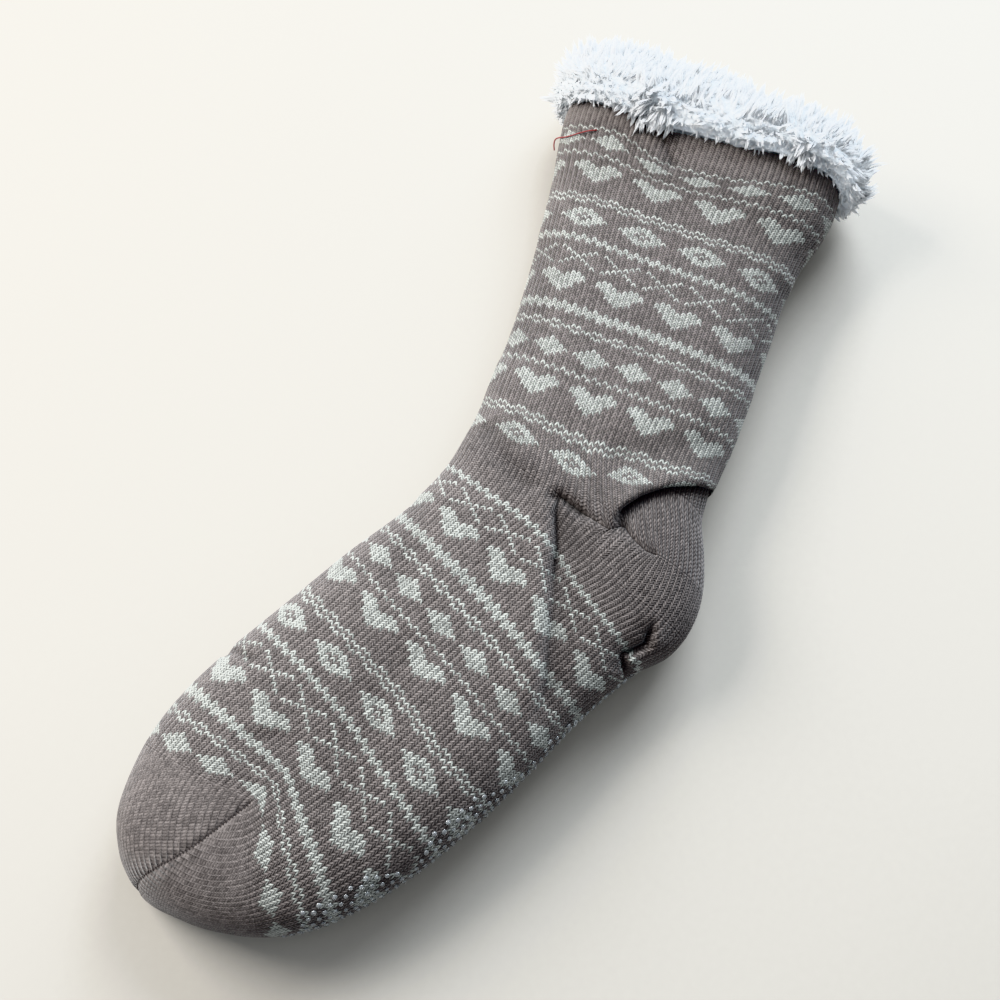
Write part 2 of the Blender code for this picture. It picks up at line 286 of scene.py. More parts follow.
@dataclass
class SockSurface:
    """The sock's outer face, with its bend at the ankle, as a table of points."""

    foot_length: float = 0.257
    foot_width: float = 0.111
    leg_length: float = 0.173
    leg_width: float = 0.104
    body_height: float = 0.037
    cuff_lift: float = 0.0045
    foot_yaw: float = -13.0
    leg_yaw: float = 16.1
    roundness: float = 2.7
    edge_level: float = 0.47
    floor_press: float = 1.07
    steps: int = 16
    turns: int = 432
    ring_angles: int = 361

    def __post_init__(self) -> None:
        """Work out the points, the ways out and the lengths along the sock."""
        knots = np.array([self._section_row(section) for section in SECTIONS])
        ahead = knots[-1] + (knots[-1] - knots[-2])
        knots = np.vstack([knots, ahead])
        self.last_station = float(len(knots) - 1)
        places = np.linspace(0.0, self.last_station, int(self.last_station) * self.steps + 1)
        rows = through(knots, places)
        self.points = np.array([self._ring(row) for row in rows])
        low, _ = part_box("knit_sock")
        body = self.points[: int(CUFF_STATION) * self.steps + 1]
        span = np.array([body[..., 0].min(), body[..., 1].min()])
        self.points[..., 0] += low.x - span[0]
        self.points[..., 1] += low.y - span[1]
        self.ways_out = self._ways_out()
        steps_long = np.linalg.norm(np.diff(self.points, axis=0), axis=2)
        self.arcs = np.concatenate([np.zeros((1, self.turns)), np.cumsum(steps_long, axis=0)])
        self.stations = places

    def _section_row(self, section: Section) -> list[float]:
        """The ends, height and lift of a section in metres, as numbers that can be blended."""
        foot = section.frame is Frame.FOOT
        along, across = plan_axes(self.foot_yaw if foot else self.leg_yaw)
        length = -self.foot_length if foot else self.leg_length
        width = self.foot_width if foot else self.leg_width
        front = along * section.front_along * length - across * section.front_across * width
        back = along * section.back_along * length - across * section.back_across * width
        return [*front[:2], *back[:2], section.height * self.body_height, section.lift * self.cuff_lift]

    def _ring(self, row: Points) -> Points:
        """Points of one ring, evenly spaced over the top and then back underneath."""
        front, back, height, lift = row[:2], row[2:4], max(0.0, row[4]), row[5]
        edge = self.edge_level * height
        angle = np.linspace(0.0, math.pi, self.ring_angles)
        power = 2.0 / self.roundness
        side = np.sign(np.cos(angle)) * np.abs(np.cos(angle)) ** power
        upward = np.abs(np.sin(angle)) ** power
        plan = (front + back) / 2.0 + np.outer(side, (front - back) / 2.0)
        top = np.column_stack([plan, edge + (height - edge) * upward + lift])
        under = np.column_stack([plan, np.maximum(0.0, edge - edge * self.floor_press * upward) + lift])
        half = self.turns // 2
        ring = np.zeros((self.turns, 3))
        for start, line in ((0, top), (half, under[::-1])):
            length = np.concatenate([[0.0], np.cumsum(np.linalg.norm(np.diff(line, axis=0), axis=1))])
            length += np.arange(len(length)) * 1e-12
            share = np.linspace(0.0, length[-1], half + 1)[:-1]
            for axis in range(3):
                ring[start:start + half, axis] = np.interp(share, length, line[:, axis])
        return ring

    def _ways_out(self) -> Points:
        """Unit vectors that point away from the inside, one for each point."""
        along = np.gradient(self.points, axis=0)
        around = np.roll(self.points, -1, axis=1) - np.roll(self.points, 1, axis=1)
        out = np.cross(around, along)
        out[0] = out[2].mean(axis=0)
        out[1] = out[2]
        middle = out[len(out) // 2, self.turns // 4]
        if middle[2] < 0.0:
            out = -out
        length = np.linalg.norm(out, axis=2, keepdims=True)
        out = out / np.maximum(length, 1e-12)
        for _ in range(2):
            out = (np.roll(out, 1, axis=1) + 2.0 * out + np.roll(out, -1, axis=1)) / 4.0
        return out / np.maximum(np.linalg.norm(out, axis=2, keepdims=True), 1e-12)

    def look_up(self, table: Points, station: Points, turn: Points) -> Points:
        """Read a table of the surface between its points.

        Args:
            table: The points or the ways out.
            station: Stations.
            turn: Turns, one for each station.

        Returns:
            A row for each pair.
        """
        station = np.asarray(station, float)
        turn = np.asarray(turn, float)
        down = np.clip(station * self.steps, 0.0, len(table) - 1.001)
        round_ = (turn % 2.0) * self.turns / 2.0
        row, column = np.floor(down).astype(int), np.floor(round_).astype(int)
        down, round_ = (down - row)[..., None], (round_ - column)[..., None]
        column %= self.turns
        after = (column + 1) % self.turns
        near = table[row, column] * (1.0 - round_) + table[row, after] * round_
        far = table[row + 1, column] * (1.0 - round_) + table[row + 1, after] * round_
        return near * (1.0 - down) + far * down

    def arc_column(self, turn: float) -> Points:
        """Length from the toe to each row of the table, along one turn."""
        place = (turn % 2.0) * self.turns / 2.0
        low = int(place) % self.turns
        mix = place - int(place)
        return self.arcs[:, low] * (1.0 - mix) + self.arcs[:, (low + 1) % self.turns] * mix

    def point(self, station: float, turn: float, lift: float = 0.0) -> Vector:
        """One place on the surface, lifted off it by some metres."""
        place = self.look_up(self.points, np.array([station]), np.array([turn]))[0]
        out = self.look_up(self.ways_out, np.array([station]), np.array([turn]))[0]
        return Vector(place + out * lift)


SHARES = np.linspace(0.0, 1.0, 9)
"""Where the key courses are given: nine shares from the instep edge to the sole edge."""


@dataclass
class KeyCourse:
    """A course of the knit and its stations at the nine shares."""

    course: float
    stations: Row


LEG_COURSES = (
    KeyCourse(0.0, (26.80, 26.75, 26.60, 26.45, 26.70, 27.00, 27.35, 27.45, 27.10)),
    KeyCourse(15.5, (25.60, 25.60, 25.65, 25.08, 25.10, 25.33, 25.92, 26.38, 26.20)),
    KeyCourse(27.5, (24.85, 24.80, 24.75, 24.50, 24.50, 24.75, 24.95, 25.10, 25.00)),
    KeyCourse(35.0, (24.20, 24.20, 24.17, 24.12, 24.10, 24.06, 24.25, 24.35, 24.30)),
    KeyCourse(53.0, (23.00, 23.00, 23.00, 22.90, 22.90, 22.94, 23.00, 23.00, 23.00)),
    KeyCourse(77.3, (21.30, 21.30, 21.30, 21.25, 21.25, 21.25, 21.25, 21.30, 21.30)),
    KeyCourse(101.0, (19.55, 19.55, 19.50, 19.50, 19.60, 19.62, 19.65, 19.70, 19.70)),
    KeyCourse(114.3, (18.30, 18.30, 18.35, 18.40, 18.50, 18.55, 18.65, 18.70, 18.70)),
    KeyCourse(133.0, (16.00, 16.10, 16.20, 16.10, 16.10, 16.75, 16.95, 17.60, 17.80)),
)
GORE_STATIONS = (14.60, 14.60, 14.62, 14.66, 14.60, 14.72, 14.95, 15.00, 15.00)
FOOT_COURSES = (
    KeyCourse(1.0, (12.65, 12.62, 12.70, 12.90, 12.80, 12.35, 12.15, 12.00, 11.90)),
    KeyCourse(17.5, (10.88, 10.88, 10.90, 11.00, 11.00, 10.88, 10.80, 10.75, 10.70)),
    KeyCourse(40.0, (9.38, 9.35, 9.33, 9.31, 9.31, 9.35, 9.31, 9.38, 9.38)),
    KeyCourse(55.0, (8.69, 8.67, 8.62, 8.62, 8.68, 8.65, 8.62, 8.62, 8.62)),
    KeyCourse(73.0, (7.75, 7.75, 7.80, 7.81, 7.81, 7.75, 7.70, 7.73, 7.75)),
    KeyCourse(97.5, (6.50, 6.56, 6.60, 6.62, 6.62, 6.50, 6.40, 6.15, 6.00)),
    KeyCourse(120.0, (4.90, 5.05, 5.30, 5.55, 5.80, 5.30, 4.85, 4.50, 4.25)),
    KeyCourse(126.0, (4.55, 4.70, 4.95, 5.25, 5.62, 4.95, 4.45, 4.10, 3.85)),
)


@dataclass
class Band:
    """A row of one motif: its first course, the motif, and the wale under one figure's middle."""

    first: int
    motif: Motif
    wale: int = 0


LEG_BANDS = (
    Band(15, Motif.ZIGZAG), Band(18, Motif.DIAMOND, 12), Band(27, Motif.ZIGZAG),
    Band(31, Motif.HEART, 11), Band(44, Motif.LONG_CHAIN), Band(50, Motif.RING, 11),
    Band(60, Motif.COMB), Band(65, Motif.LATTICE, 4), Band(74, Motif.HEART, 10),
    Band(85, Motif.LONG_COMB), Band(92, Motif.CHAIN), Band(98, Motif.DIAMOND, 12),
    Band(107, Motif.ZIGZAG), Band(111, Motif.HEART, 12), Band(124, Motif.LONG_CHAIN),
    Band(130, Motif.RING, 12),
)
FOOT_BANDS = (
    Band(0, Motif.COMB), Band(5, Motif.LATTICE, 4), Band(14, Motif.HEART, 2),
    Band(25, Motif.LONG_COMB), Band(32, Motif.CHAIN), Band(37, Motif.DIAMOND, 8),
    Band(47, Motif.ZIGZAG), Band(51, Motif.HEART, 5), Band(64, Motif.LONG_CHAIN),
    Band(70, Motif.RING, 6), Band(80, Motif.COMB), Band(85, Motif.LATTICE, 4),
    Band(94, Motif.HEART, 6), Band(105, Motif.LONG_COMB), Band(112, Motif.CHAIN),
    Band(117, Motif.DIAMOND, 2),
)


def yarn_at(bands: tuple[Band, ...], course: int, wale: int) -> Yarn:
    """Which yarn a stitch is knitted in.

    Args:
        bands: The bands of the panel.
        course: The stitch's course.
        wale: The stitch's wale, from the instep edge.

    Returns:
        The yarn.
    """
    for band in bands:
        chart = band.motif.value
        row = course - band.first
        if 0 <= row < len(chart):
            period = len(chart[row])
            middle = (period - 1) // 2 if period < 8 else chart_middle(chart)
            return Yarn(chart[row][(wale - band.wale + middle) % period])
    return Yarn.MAIN


def chart_middle(chart: tuple[str, ...]) -> int:
    """The column under the middle of a figure, half the width that its stitches take."""
    width = max(row.rfind("#") for row in chart) + 1
    return width // 2


@dataclass
class HeelFold:
    """The leg folded over the heel pocket: where it runs and its cross-section.

    The profile's columns are the length from the fold's line before folding, the same after
    folding, and the height, in millimetres; the leg lies at negative lengths.
    """

    turns: Row = (0.50, 0.537, 0.60, 0.676, 0.78, 0.88, 0.963, 1.00)
    stations: Row = (14.20, 14.56, 15.50, 16.31, 17.10, 17.77, 18.06, 18.15)
    starts: Pair = (0.52, 0.63)
    ends: Pair = (0.99, 1.22)
    profile: tuple[Triple, ...] = (
        (-18.0, -18.0, 0.0), (-12.0, -11.6, 0.5), (-7.0, -6.4, 1.5), (-3.2, -2.4, 2.3),
        (-0.8, -0.2, 1.7), (0.5, 0.0, 0.1), (1.8, -1.7, -1.4), (4.2, -3.4, -2.2),
        (7.4, 1.2, -1.2), (11.0, 8.6, -0.2), (18.0, 18.0, 0.0),
    )

    def strength(self, turn: float) -> float:
        """How far the fold is pressed at a turn, 0 to 1."""
        rise = np.clip((turn - self.starts[0]) / (self.starts[1] - self.starts[0]), 0.0, 1.0)
        fall = np.clip((self.ends[1] - turn) / (self.ends[1] - self.ends[0]), 0.0, 1.0)
        share = min(rise, fall)
        return float(share * share * (3.0 - 2.0 * share))

    def apply(self, arcs: Points, line: float, turn: float) -> tuple[Points, Points]:
        """Fold one wale.

        Args:
            arcs: Lengths of the wale's stitches from the toe, metres.
            line: Length at which the fold's line crosses the wale.
            turn: The wale's turn.

        Returns:
            The folded lengths and the heights, metres.
        """
        share = self.strength(turn)
        if share <= 0.0:
            return arcs, np.zeros_like(arcs)
        table = through(np.array(self.profile), np.linspace(0.0, len(self.profile) - 1.0, 161))
        before = (line - arcs) / MM
        after = np.interp(before, table[:, 0], table[:, 1], left=np.nan, right=np.nan)
        after = np.where(np.isnan(after), before, after)
        height = np.interp(before, table[:, 0], table[:, 2], left=0.0, right=0.0)
        moved = before + (after - before) * share
        low = 1.0 - 0.8 * np.clip((turn - 0.80) / 0.2, 0.0, 1.0) * (height > 0.0)
        return line - moved * MM, height * low * share * MM


@dataclass
class Crease:
    """A soft trough in the upper face with a raised side, through places (station, turn).

    Sizes are millimetres: the trough's half width and depth, the depth of a narrow slit along
    its middle, and how much higher the side to the left of the way along it stands.
    """

    places: Table
    half_width: float
    depth: float
    slit: float = 0.0
    step: float = 0.0


CREASES = (
    Crease(((14.88, 0.417), (13.69, 0.444), (12.44, 0.528), (11.38, 0.62), (10.62, 0.704),
            (9.94, 0.806), (9.31, 0.861)), 3.6, 1.1, 0.5, -1.4),
    Crease(((14.7, 0.418), (14.3, 0.426), (13.69, 0.444), (12.44, 0.528), (11.7, 0.59)),
           2.0, 0.3, 1.0, 0.0),
    Crease(((14.1, 0.39), (14.62, 0.42), (14.56, 0.472), (14.56, 0.537)), 2.6, 1.0, 0.7, 0.0),
    Crease(((16.0, 0.10), (14.6, 0.22), (14.0, 0.36)), 5.0, 1.0, 0.0, 0.0),
    Crease(((13.3, 0.84), (12.94, 0.861), (12.69, 0.88), (12.44, 0.898), (12.06, 0.898), (11.81, 0.889),
            (11.69, 0.907), (11.56, 0.95), (11.4, 1.0)), 1.7, 1.0, 2.0, 1.3),
    Crease(((26.5, 0.28), (26.19, 0.343), (25.88, 0.389), (25.44, 0.417), (24.9, 0.45)),
           4.5, 1.7, 0.5, -0.5),
    Crease(((6.6, 0.03), (6.75, 0.05), (6.88, 0.11), (6.95, 0.18)), 2.2, 0.8, 0.4, 0.3),
    Crease(((6.1, 0.30), (6.19, 0.333), (6.44, 0.38), (6.70, 0.43)), 3.0, 0.6, 0.0, 0.3),
    Crease(((11.0, 0.05), (10.0, 0.18), (9.0, 0.30)), 7.0, 0.8, 0.0, 0.3),
    Crease(((9.0, 0.42), (7.4, 0.55), (6.4, 0.70)), 9.0, 0.7, 0.0, 0.3),
    Crease(((22.5, 0.06), (20.5, 0.14), (18.6, 0.12)), 8.0, 0.9, 0.0, 0.3),
    Crease(((19.2, 0.90), (18.2, 0.70), (17.2, 0.52)), 7.0, 0.8, 0.0, -0.4),
    Crease(((23.4, 0.98), (22.0, 0.90), (20.4, 0.93)), 6.0, 0.9, 0.0, 0.4),
)
SLIT_HALF_WIDTH = 1.0
"""Half width of a crease's narrow slit, in millimetres."""
CREASE_POINTS = 25
"""Points that each crease's line is drawn through."""
CREASE_END_FADE = 5.0
"""A crease dies out over its first and last share of one over this."""
CREASE_STEP_REACH = 3.5
"""How far a crease's raised side reaches, in half widths."""


@dataclass
class Lay:
    """Where the stitches of one part of the knit lie: lengths and heights, a column a wale line."""

    stations: Points
    turns: Points
    lifts: Points


@dataclass
class Knit:
    """The knitted fabric: stitch grid, panels, fold, creases and colour pattern."""

    surface: SockSurface
    wales: int = 108
    lines_per_wale: int = 4
    leg_courses: int = 145
    foot_plain: int = 14
    foot_courses: int = 126
    hem_courses: int = 6
    heel_first_wale: float = 22.5
    heel_rows: int = 17
    toe_rows: int = 56
    toe_taper: float = 1.5
    hem_depth: float = 3.0 * MM
    gore_depth: float = 0.9 * MM
    toe_seam_depth: float = 0.95 * MM
    gore_bend: float = 0.055
    gore_reach: float = 8.0 * MM
    heel_rise: Row = (1.2, 1.2, 1.2, 1.2, 1.2, 1.22, 1.25, 1.65, 1.8)
    heel_fall: Row = (1.2, 1.2, 1.2, 1.2, 1.2, 1.15, 1.15, 1.2, 1.2)
    leg_grain: Table = ((0.0, 1.0), (1.0, 1.0))
    foot_grain: Table = ((121.0, 1.0), (129.0, 0.36))
    line_places: Row = (0.0, 0.27, 0.5, 0.73)
    line_heights: Row = (-0.30, 0.12, -0.11, 0.12)
    # Painted light by course, below 0 painted shade: the plain cuff band is lightened, partly against the
    # shade of the pile roll and partly for its spread fibres, and the heel's courses are darkened.
    leg_painted_shading: Table = ((11.0, 0.58), (15.0, 0.0), (126.0, 0.0), (138.0, -0.18))
    foot_painted_shading: Table = ((-12.0, -0.18), (0.0, 0.0))
    leg_rib: Table = ((13.0, 1.0), (17.0, 0.62), (128.0, 0.62), (140.0, 0.9))
    foot_rib: Table = ((-12.0, 0.9), (2.0, 0.6), (30.0, 0.45), (122.0, 0.42), (132.0, 0.26))
    line_offsets: Row = (0.5, 0.0, -0.5, 0.0)
    hem_turn_in: float = 1.6
    hem_curve: float = 0.7
    gore_fade: float = 1.1
    toe_seam_fade: float = 2.2
    toe_seam_ease: float = 0.3
    bend_from: Pair = (0.44, 0.1)
    bend_to: Pair = (0.80, 0.12)
    # Crease depth and dip depth range, in millimetres, over which the painted shade of creases and dips
    # grows to full.
    crease_shade_full: float = 3.0
    dip_shade_range: Pair = (0.6, 1.2)
    lowest: float = 0.25 * MM
    fold: HeelFold = field(default_factory=HeelFold)

    def __post_init__(self) -> None:
        """Lay out the columns and the key lines."""
        self.columns = self.wales * self.lines_per_wale
        index = np.arange(self.columns)
        place = np.array(self.line_places)[index % self.lines_per_wale]
        self.wale_places = index // self.lines_per_wale + place
        self.turns = self.wale_places / (self.wales / 2.0)
        self.shares = np.where(self.turns <= 1.0, self.turns, 2.0 - self.turns)
        self.offsets = np.array(self.line_offsets)[index % self.lines_per_wale]
        self.heights = np.array(self.line_heights)[index % self.lines_per_wale] * MM
        self.arc_columns = [self.surface.arc_column(turn) for turn in self.turns]
        from_front = np.minimum(self.wale_places, self.wales - self.wale_places)
        rows = np.clip(from_front - self.heel_first_wale, 0.0, self.heel_rows)
        self.rows_of_heel = np.round(rows).astype(int)
        gore = self._arcs_of(self._spread(GORE_STATIONS))
        self.gore_arcs = gore
        self.heel_top = gore + self.rows_of_heel * self._spread(self.heel_rise) * MM
        self.heel_end = gore - self.rows_of_heel * self._spread(self.heel_fall) * MM
        fold_stations = np.interp(self.shares, self.fold.turns, self.fold.stations)
        self.fold_arcs = self._arcs_of(smooth_steps(fold_stations, 8, closed=True))

    def by_course(self, table: Table, courses: Points) -> Points:
        """A quantity that is given at a few courses, read at each course."""
        rows = np.array(table)
        return np.interp(courses, rows[:, 0], rows[:, 1])

    def _spread(self, values: Row) -> Points:
        """Values at the nine shares, as one value for each column."""
        return smooth_steps(np.interp(self.shares, SHARES, values), 10, closed=True)

    def _arcs_of(self, stations: Points) -> Points:
        """Length from the toe to a station, for each column."""
        table = self.surface.stations
        return np.array([np.interp(station, table, arcs)
                         for station, arcs in zip(stations, self.arc_columns)])

    def _key_rows(self, keys: tuple[KeyCourse, ...]) -> list[Points]:
        """Lengths of each key course, for each column."""
        return [self._arcs_of(self._spread(key.stations)) for key in keys]

    def lay_courses(self, courses: Points, key_courses: list[float], key_rows: list[Points]) -> Points:
        """Lengths from the toe of a run of courses, evenly spaced between key courses.

        Args:
            courses: The courses.
            key_courses: Courses whose lengths are known, in order.
            key_rows: Their lengths, for each column.

        Returns:
            A row for each course, a column for each line of the grid.
        """
        keys = np.array(key_rows)
        laid = np.empty((len(courses), self.columns))
        inner = np.ones(len(courses))
        inner[0] = inner[-1] = 0.0
        for column in range(self.columns):
            line = smooth_steps(np.interp(courses, key_courses, keys[:, column]), 12, closed=False)
            bent = np.interp(courses + self.offsets[column] * inner, courses, line)
            laid[:, column] = bent
        return laid

    def place(self, arcs: Points, lifts: Points, turns: Points | None = None) -> Lay:
        """Fold a block of stitches and turn its lengths into stations.

        Args:
            arcs: Lengths from the toe, a row a course.
            lifts: Heights off the surface.
            turns: Turns of the stitches, where they aren't those of the columns.

        Returns:
            Where the stitches lie.
        """
        stations = np.empty_like(arcs)
        heights = lifts.copy()
        for column in range(self.columns):
            arc, rise = self.fold.apply(arcs[:, column], self.fold_arcs[column], self.turns[column])
            stations[:, column] = np.interp(arc, self.arc_columns[column], self.surface.stations)
            heights[:, column] += rise
        if turns is None:
            turns = np.repeat(self.turns[None, :], len(arcs), axis=0)
        near = np.exp(-np.abs(arcs - self.gore_arcs) / self.gore_reach)
        (start, rise), (end, fall) = self.bend_from, self.bend_to
        in_heel = np.clip((self.shares - start) / rise, 0.0, 1.0)
        in_heel = in_heel * np.clip((end - self.shares) / fall, 0.0, 1.0)
        turns = turns + near * in_heel * np.sign(1.0 - self.turns) * self.gore_bend
        return Lay(stations, turns, heights)

    def leg(self) -> tuple[Lay, Points, Points]:
        """The leg from its hem to the heel's gore.

        Returns:
            Where its stitches lie, the vertex number of each, and its course numbers.
        """
        courses = np.arange(-self.hem_courses, self.leg_courses + 1, dtype=float)
        rows = self._key_rows(LEG_COURSES)
        hem = rows[0] - self.hem_depth * self.hem_turn_in
        keys = [-float(self.hem_courses), *(key.course for key in LEG_COURSES), float(self.leg_courses)]
        arcs = self.lay_courses(courses, keys, [hem, *rows, self.heel_top])
        lifts = self.heights[None, :] * self.by_course(self.leg_rib, courses)[:, None]
        tuck = np.clip(-courses / self.hem_courses, 0.0, 1.0)
        lifts -= (tuck ** self.hem_curve * self.hem_depth)[:, None]
        heel = np.arange(1, self.heel_rows + 1)
        extra, extra_lift = self._heel_block(heel, self.heel_top)
        arcs = np.vstack([arcs, extra])
        lifts = np.vstack([lifts, extra_lift])
        index = np.arange(arcs.size).reshape(arcs.shape)
        last_leg = len(courses) - 1
        for step in range(1, self.heel_rows + 1):
            stop = np.minimum(step, self.rows_of_heel)
            index[last_leg + step] = (last_leg + stop) * self.columns + np.arange(self.columns)
        numbers = np.concatenate([courses, self.leg_courses + heel])
        return self.place(arcs, lifts), index, numbers

    def _heel_block(self, heel: Points, start: Points) -> tuple[Points, Points]:
        """Lengths and heights of the heel's rows between a start line and the gore.

        Args:
            heel: The rows, counted from the start line.
            start: Length from the toe at which each column leaves the start line.

        Returns:
            Both, a row each for a row of the heel.
        """
        block = np.empty((self.heel_rows, self.columns))
        lifts = np.empty_like(block)
        for column in range(self.columns):
            share, lift = self._heel_shares(heel, column)
            block[:, column] = start[column] + (self.gore_arcs[column] - start[column]) * share
            lifts[:, column] = lift
        return block, lifts

    def _heel_shares(self, heel: Points, column: int) -> tuple[Points, Points]:
        """For one column, how far the heel's rows lie on the way to the gore, and their heights."""
        rows = self.rows_of_heel[column]
        count = max(1, rows)
        bent = heel + self.offsets[column] * (heel < count)
        share = np.clip(bent / count, 0.0, 1.0)
        to_gore = np.clip(count - heel, 0, 3)
        deep = np.where(rows < self.heel_rows, 1.0, 0.0) * self.gore_depth
        lift = self.heights[column] * np.clip(to_gore, 0, 1) - deep * np.exp(-to_gore * self.gore_fade)
        return share, lift

    def foot(self) -> tuple[Lay, Points, Points]:
        """The foot from the heel's gore to the tip of the toe.

        Returns:
            Where its stitches lie, the vertex number of each, and its course numbers.
        """
        heel = np.arange(self.heel_rows, 0, -1)
        extra, extra_lift = self._heel_block(heel, self.heel_end)
        first = 1.0 - self.foot_plain
        courses = np.arange(first, self.foot_courses + 1.0)
        rows = self._key_rows(FOOT_COURSES)
        keys = [first] + [key.course for key in FOOT_COURSES]
        arcs = self.lay_courses(courses, keys, [self.heel_end, *rows])
        lifts = self.heights[None, :] * self.by_course(self.foot_rib, courses)[:, None]
        toe_arcs, toe_turns, toe_lifts, toe_gore = self._toe(rows[-1])
        block = np.vstack([extra, arcs, toe_arcs])
        block_lift = np.vstack([extra_lift, lifts, toe_lifts])
        turns = np.repeat(self.turns[None, :], len(block), axis=0)
        turns[-len(toe_arcs):] = toe_turns
        index = np.arange(block.size).reshape(block.shape)
        for step in range(self.heel_rows):
            back_rows = self.heel_rows - step
            stop = np.minimum(back_rows, self.rows_of_heel)
            index[step] = (self.heel_rows - stop) * self.columns + np.arange(self.columns)
        start = self.heel_rows + len(courses)
        for step in range(len(toe_arcs)):
            gores = toe_gore[step]
            index[start + step] = (start + step) * self.columns + gores
        index[-1] = index[-1, 0]
        toe_numbers = self.foot_courses + 1.0 + np.arange(len(toe_arcs))
        numbers = np.concatenate([first - heel, courses, toe_numbers])
        return self.place_foot(block, block_lift, turns), index, numbers

    def place_foot(self, arcs: Points, lifts: Points, turns: Points) -> Lay:
        """Like place, with the toe's stitches read along their own turns."""
        lay = self.place(arcs, lifts, turns)
        first_toe = len(arcs) - self.toe_rows
        lay.stations[first_toe:] = arcs[first_toe:]
        return lay

    def _toe(self, last_row: Points) -> tuple[Points, Points, Points, Points]:
        """The toe's panels, whose outer wales end at the gores.

        Args:
            last_row: Lengths of the foot's last course, for each column.

        Returns:
            Stations, turns, heights, and the column that each stitch is joined to.
        """
        quarter = self.wales / 4.0
        half = self.wales / 2.0
        first_stations = np.array([np.interp(arc, arcs, self.surface.stations)
                                   for arc, arcs in zip(last_row, self.arc_columns)])
        from_front = np.where(self.wale_places <= half, self.wale_places, self.wale_places - self.wales)
        near_front = np.abs(from_front) <= quarter
        from_back = np.where(from_front > 0, half - from_front, -half - from_front)
        from_rail = np.where(near_front, from_front, from_back)
        gore_column = np.where(from_front > 0, 1, 3) * self.columns // 4
        around = np.append(self.turns, 2.0)
        first_around = np.append(first_stations, first_stations[0])
        stations, turns, lifts, joined = [], [], [], []
        for row in range(1, self.toe_rows + 1):
            share = row / self.toe_rows
            left = quarter * max(0.0, 1.0 - share ** self.toe_taper)
            spread = np.clip(np.abs(from_rail) / max(left, 1e-6), 0.0, 1.0) * quarter
            signed = np.sign(from_rail) * spread
            behind = np.where(from_front > 0, half - spread, -half + spread)
            place = np.where(near_front, signed, behind)
            turn = (place / half) % 2.0
            base = np.interp(turn, around, first_around)
            arc_first = self._arcs_at(base, turn)
            inner = (row < self.toe_rows) * (np.abs(from_rail) < left)
            step = share + self.offsets / self.toe_rows * inner
            arc = arc_first * np.clip(1.0 - step, 0.0, 1.0)
            stations.append(self._stations_at(arc, turn))
            turns.append(turn)
            gone = np.abs(from_rail) >= left
            joined.append(np.where(gone, gore_column, np.arange(self.columns)))
            near = np.clip(left - np.abs(from_rail), 0.0, 3.0)
            seam = self.toe_seam_depth * np.exp(-near * self.toe_seam_fade)
            seam = seam * (1.0 - share * self.toe_seam_ease)
            lifts.append(np.where(gone, 0.0, self.heights * self.foot_rib[-1][1]) - seam)
        return np.array(stations), np.array(turns), np.array(lifts), np.array(joined)

    def _arcs_at(self, stations: Points, turns: Points) -> Points:
        """Lengths from the toe to stations along any turns."""
        table = self.surface.arcs[..., None]
        return self.surface.look_up(table, stations, turns)[..., 0]

    def _stations_at(self, arcs: Points, turns: Points) -> Points:
        """Stations at lengths from the toe along any turns."""
        low, high = np.zeros_like(arcs), np.full_like(arcs, self.surface.last_station)
        for _ in range(24):
            middle = (low + high) / 2.0
            short = self._arcs_at(middle, turns) < arcs
            low = np.where(short, middle, low)
            high = np.where(short, high, middle)
        return (low + high) / 2.0

    def vertices(self, lay: Lay) -> tuple[Points, Points]:
        """Points of a block of stitches with its creases, and the painted shade that each gets in a crease
        or a dip.

        Args:
            lay: Where the stitches lie.

        Returns:
            Points, and painted shade of 0 to 1 from creases and dips, a row each.
        """
        points = self.surface.look_up(self.surface.points, lay.stations, lay.turns)
        out = self.surface.look_up(self.surface.ways_out, lay.stations, lay.turns)
        points = points + out * lay.lifts[..., None]
        shape = points.shape[:2]
        flat, ways = points.reshape(-1, 3), out.reshape(-1, 3)
        upper = (lay.turns.ravel() % 2.0) < UPPER_FACE_END
        depth = np.zeros(len(flat))
        for crease in CREASES:
            drop = self.crease_drop(crease, flat[:, :2]) * upper
            flat = flat - ways * (drop * MM)[:, None]
            # Painted shade: the deeper a crease lowers the stitches, the darker they are coloured.
            depth += np.clip(drop / self.crease_shade_full, 0.0, 1.0)
        # Painted shade in stitches sunk below the surface: under the heel fold, along the gores, at the
        # toe seam and the hem.
        least, reach = self.dip_shade_range
        dip_shade = np.clip(-lay.lifts.ravel() / MM - least, 0.0, reach) / reach
        flat[:, 2] = np.maximum(flat[:, 2], self.lowest)
        return flat.reshape(*shape, 3), np.clip(depth + dip_shade, 0.0, 1.0).reshape(shape)

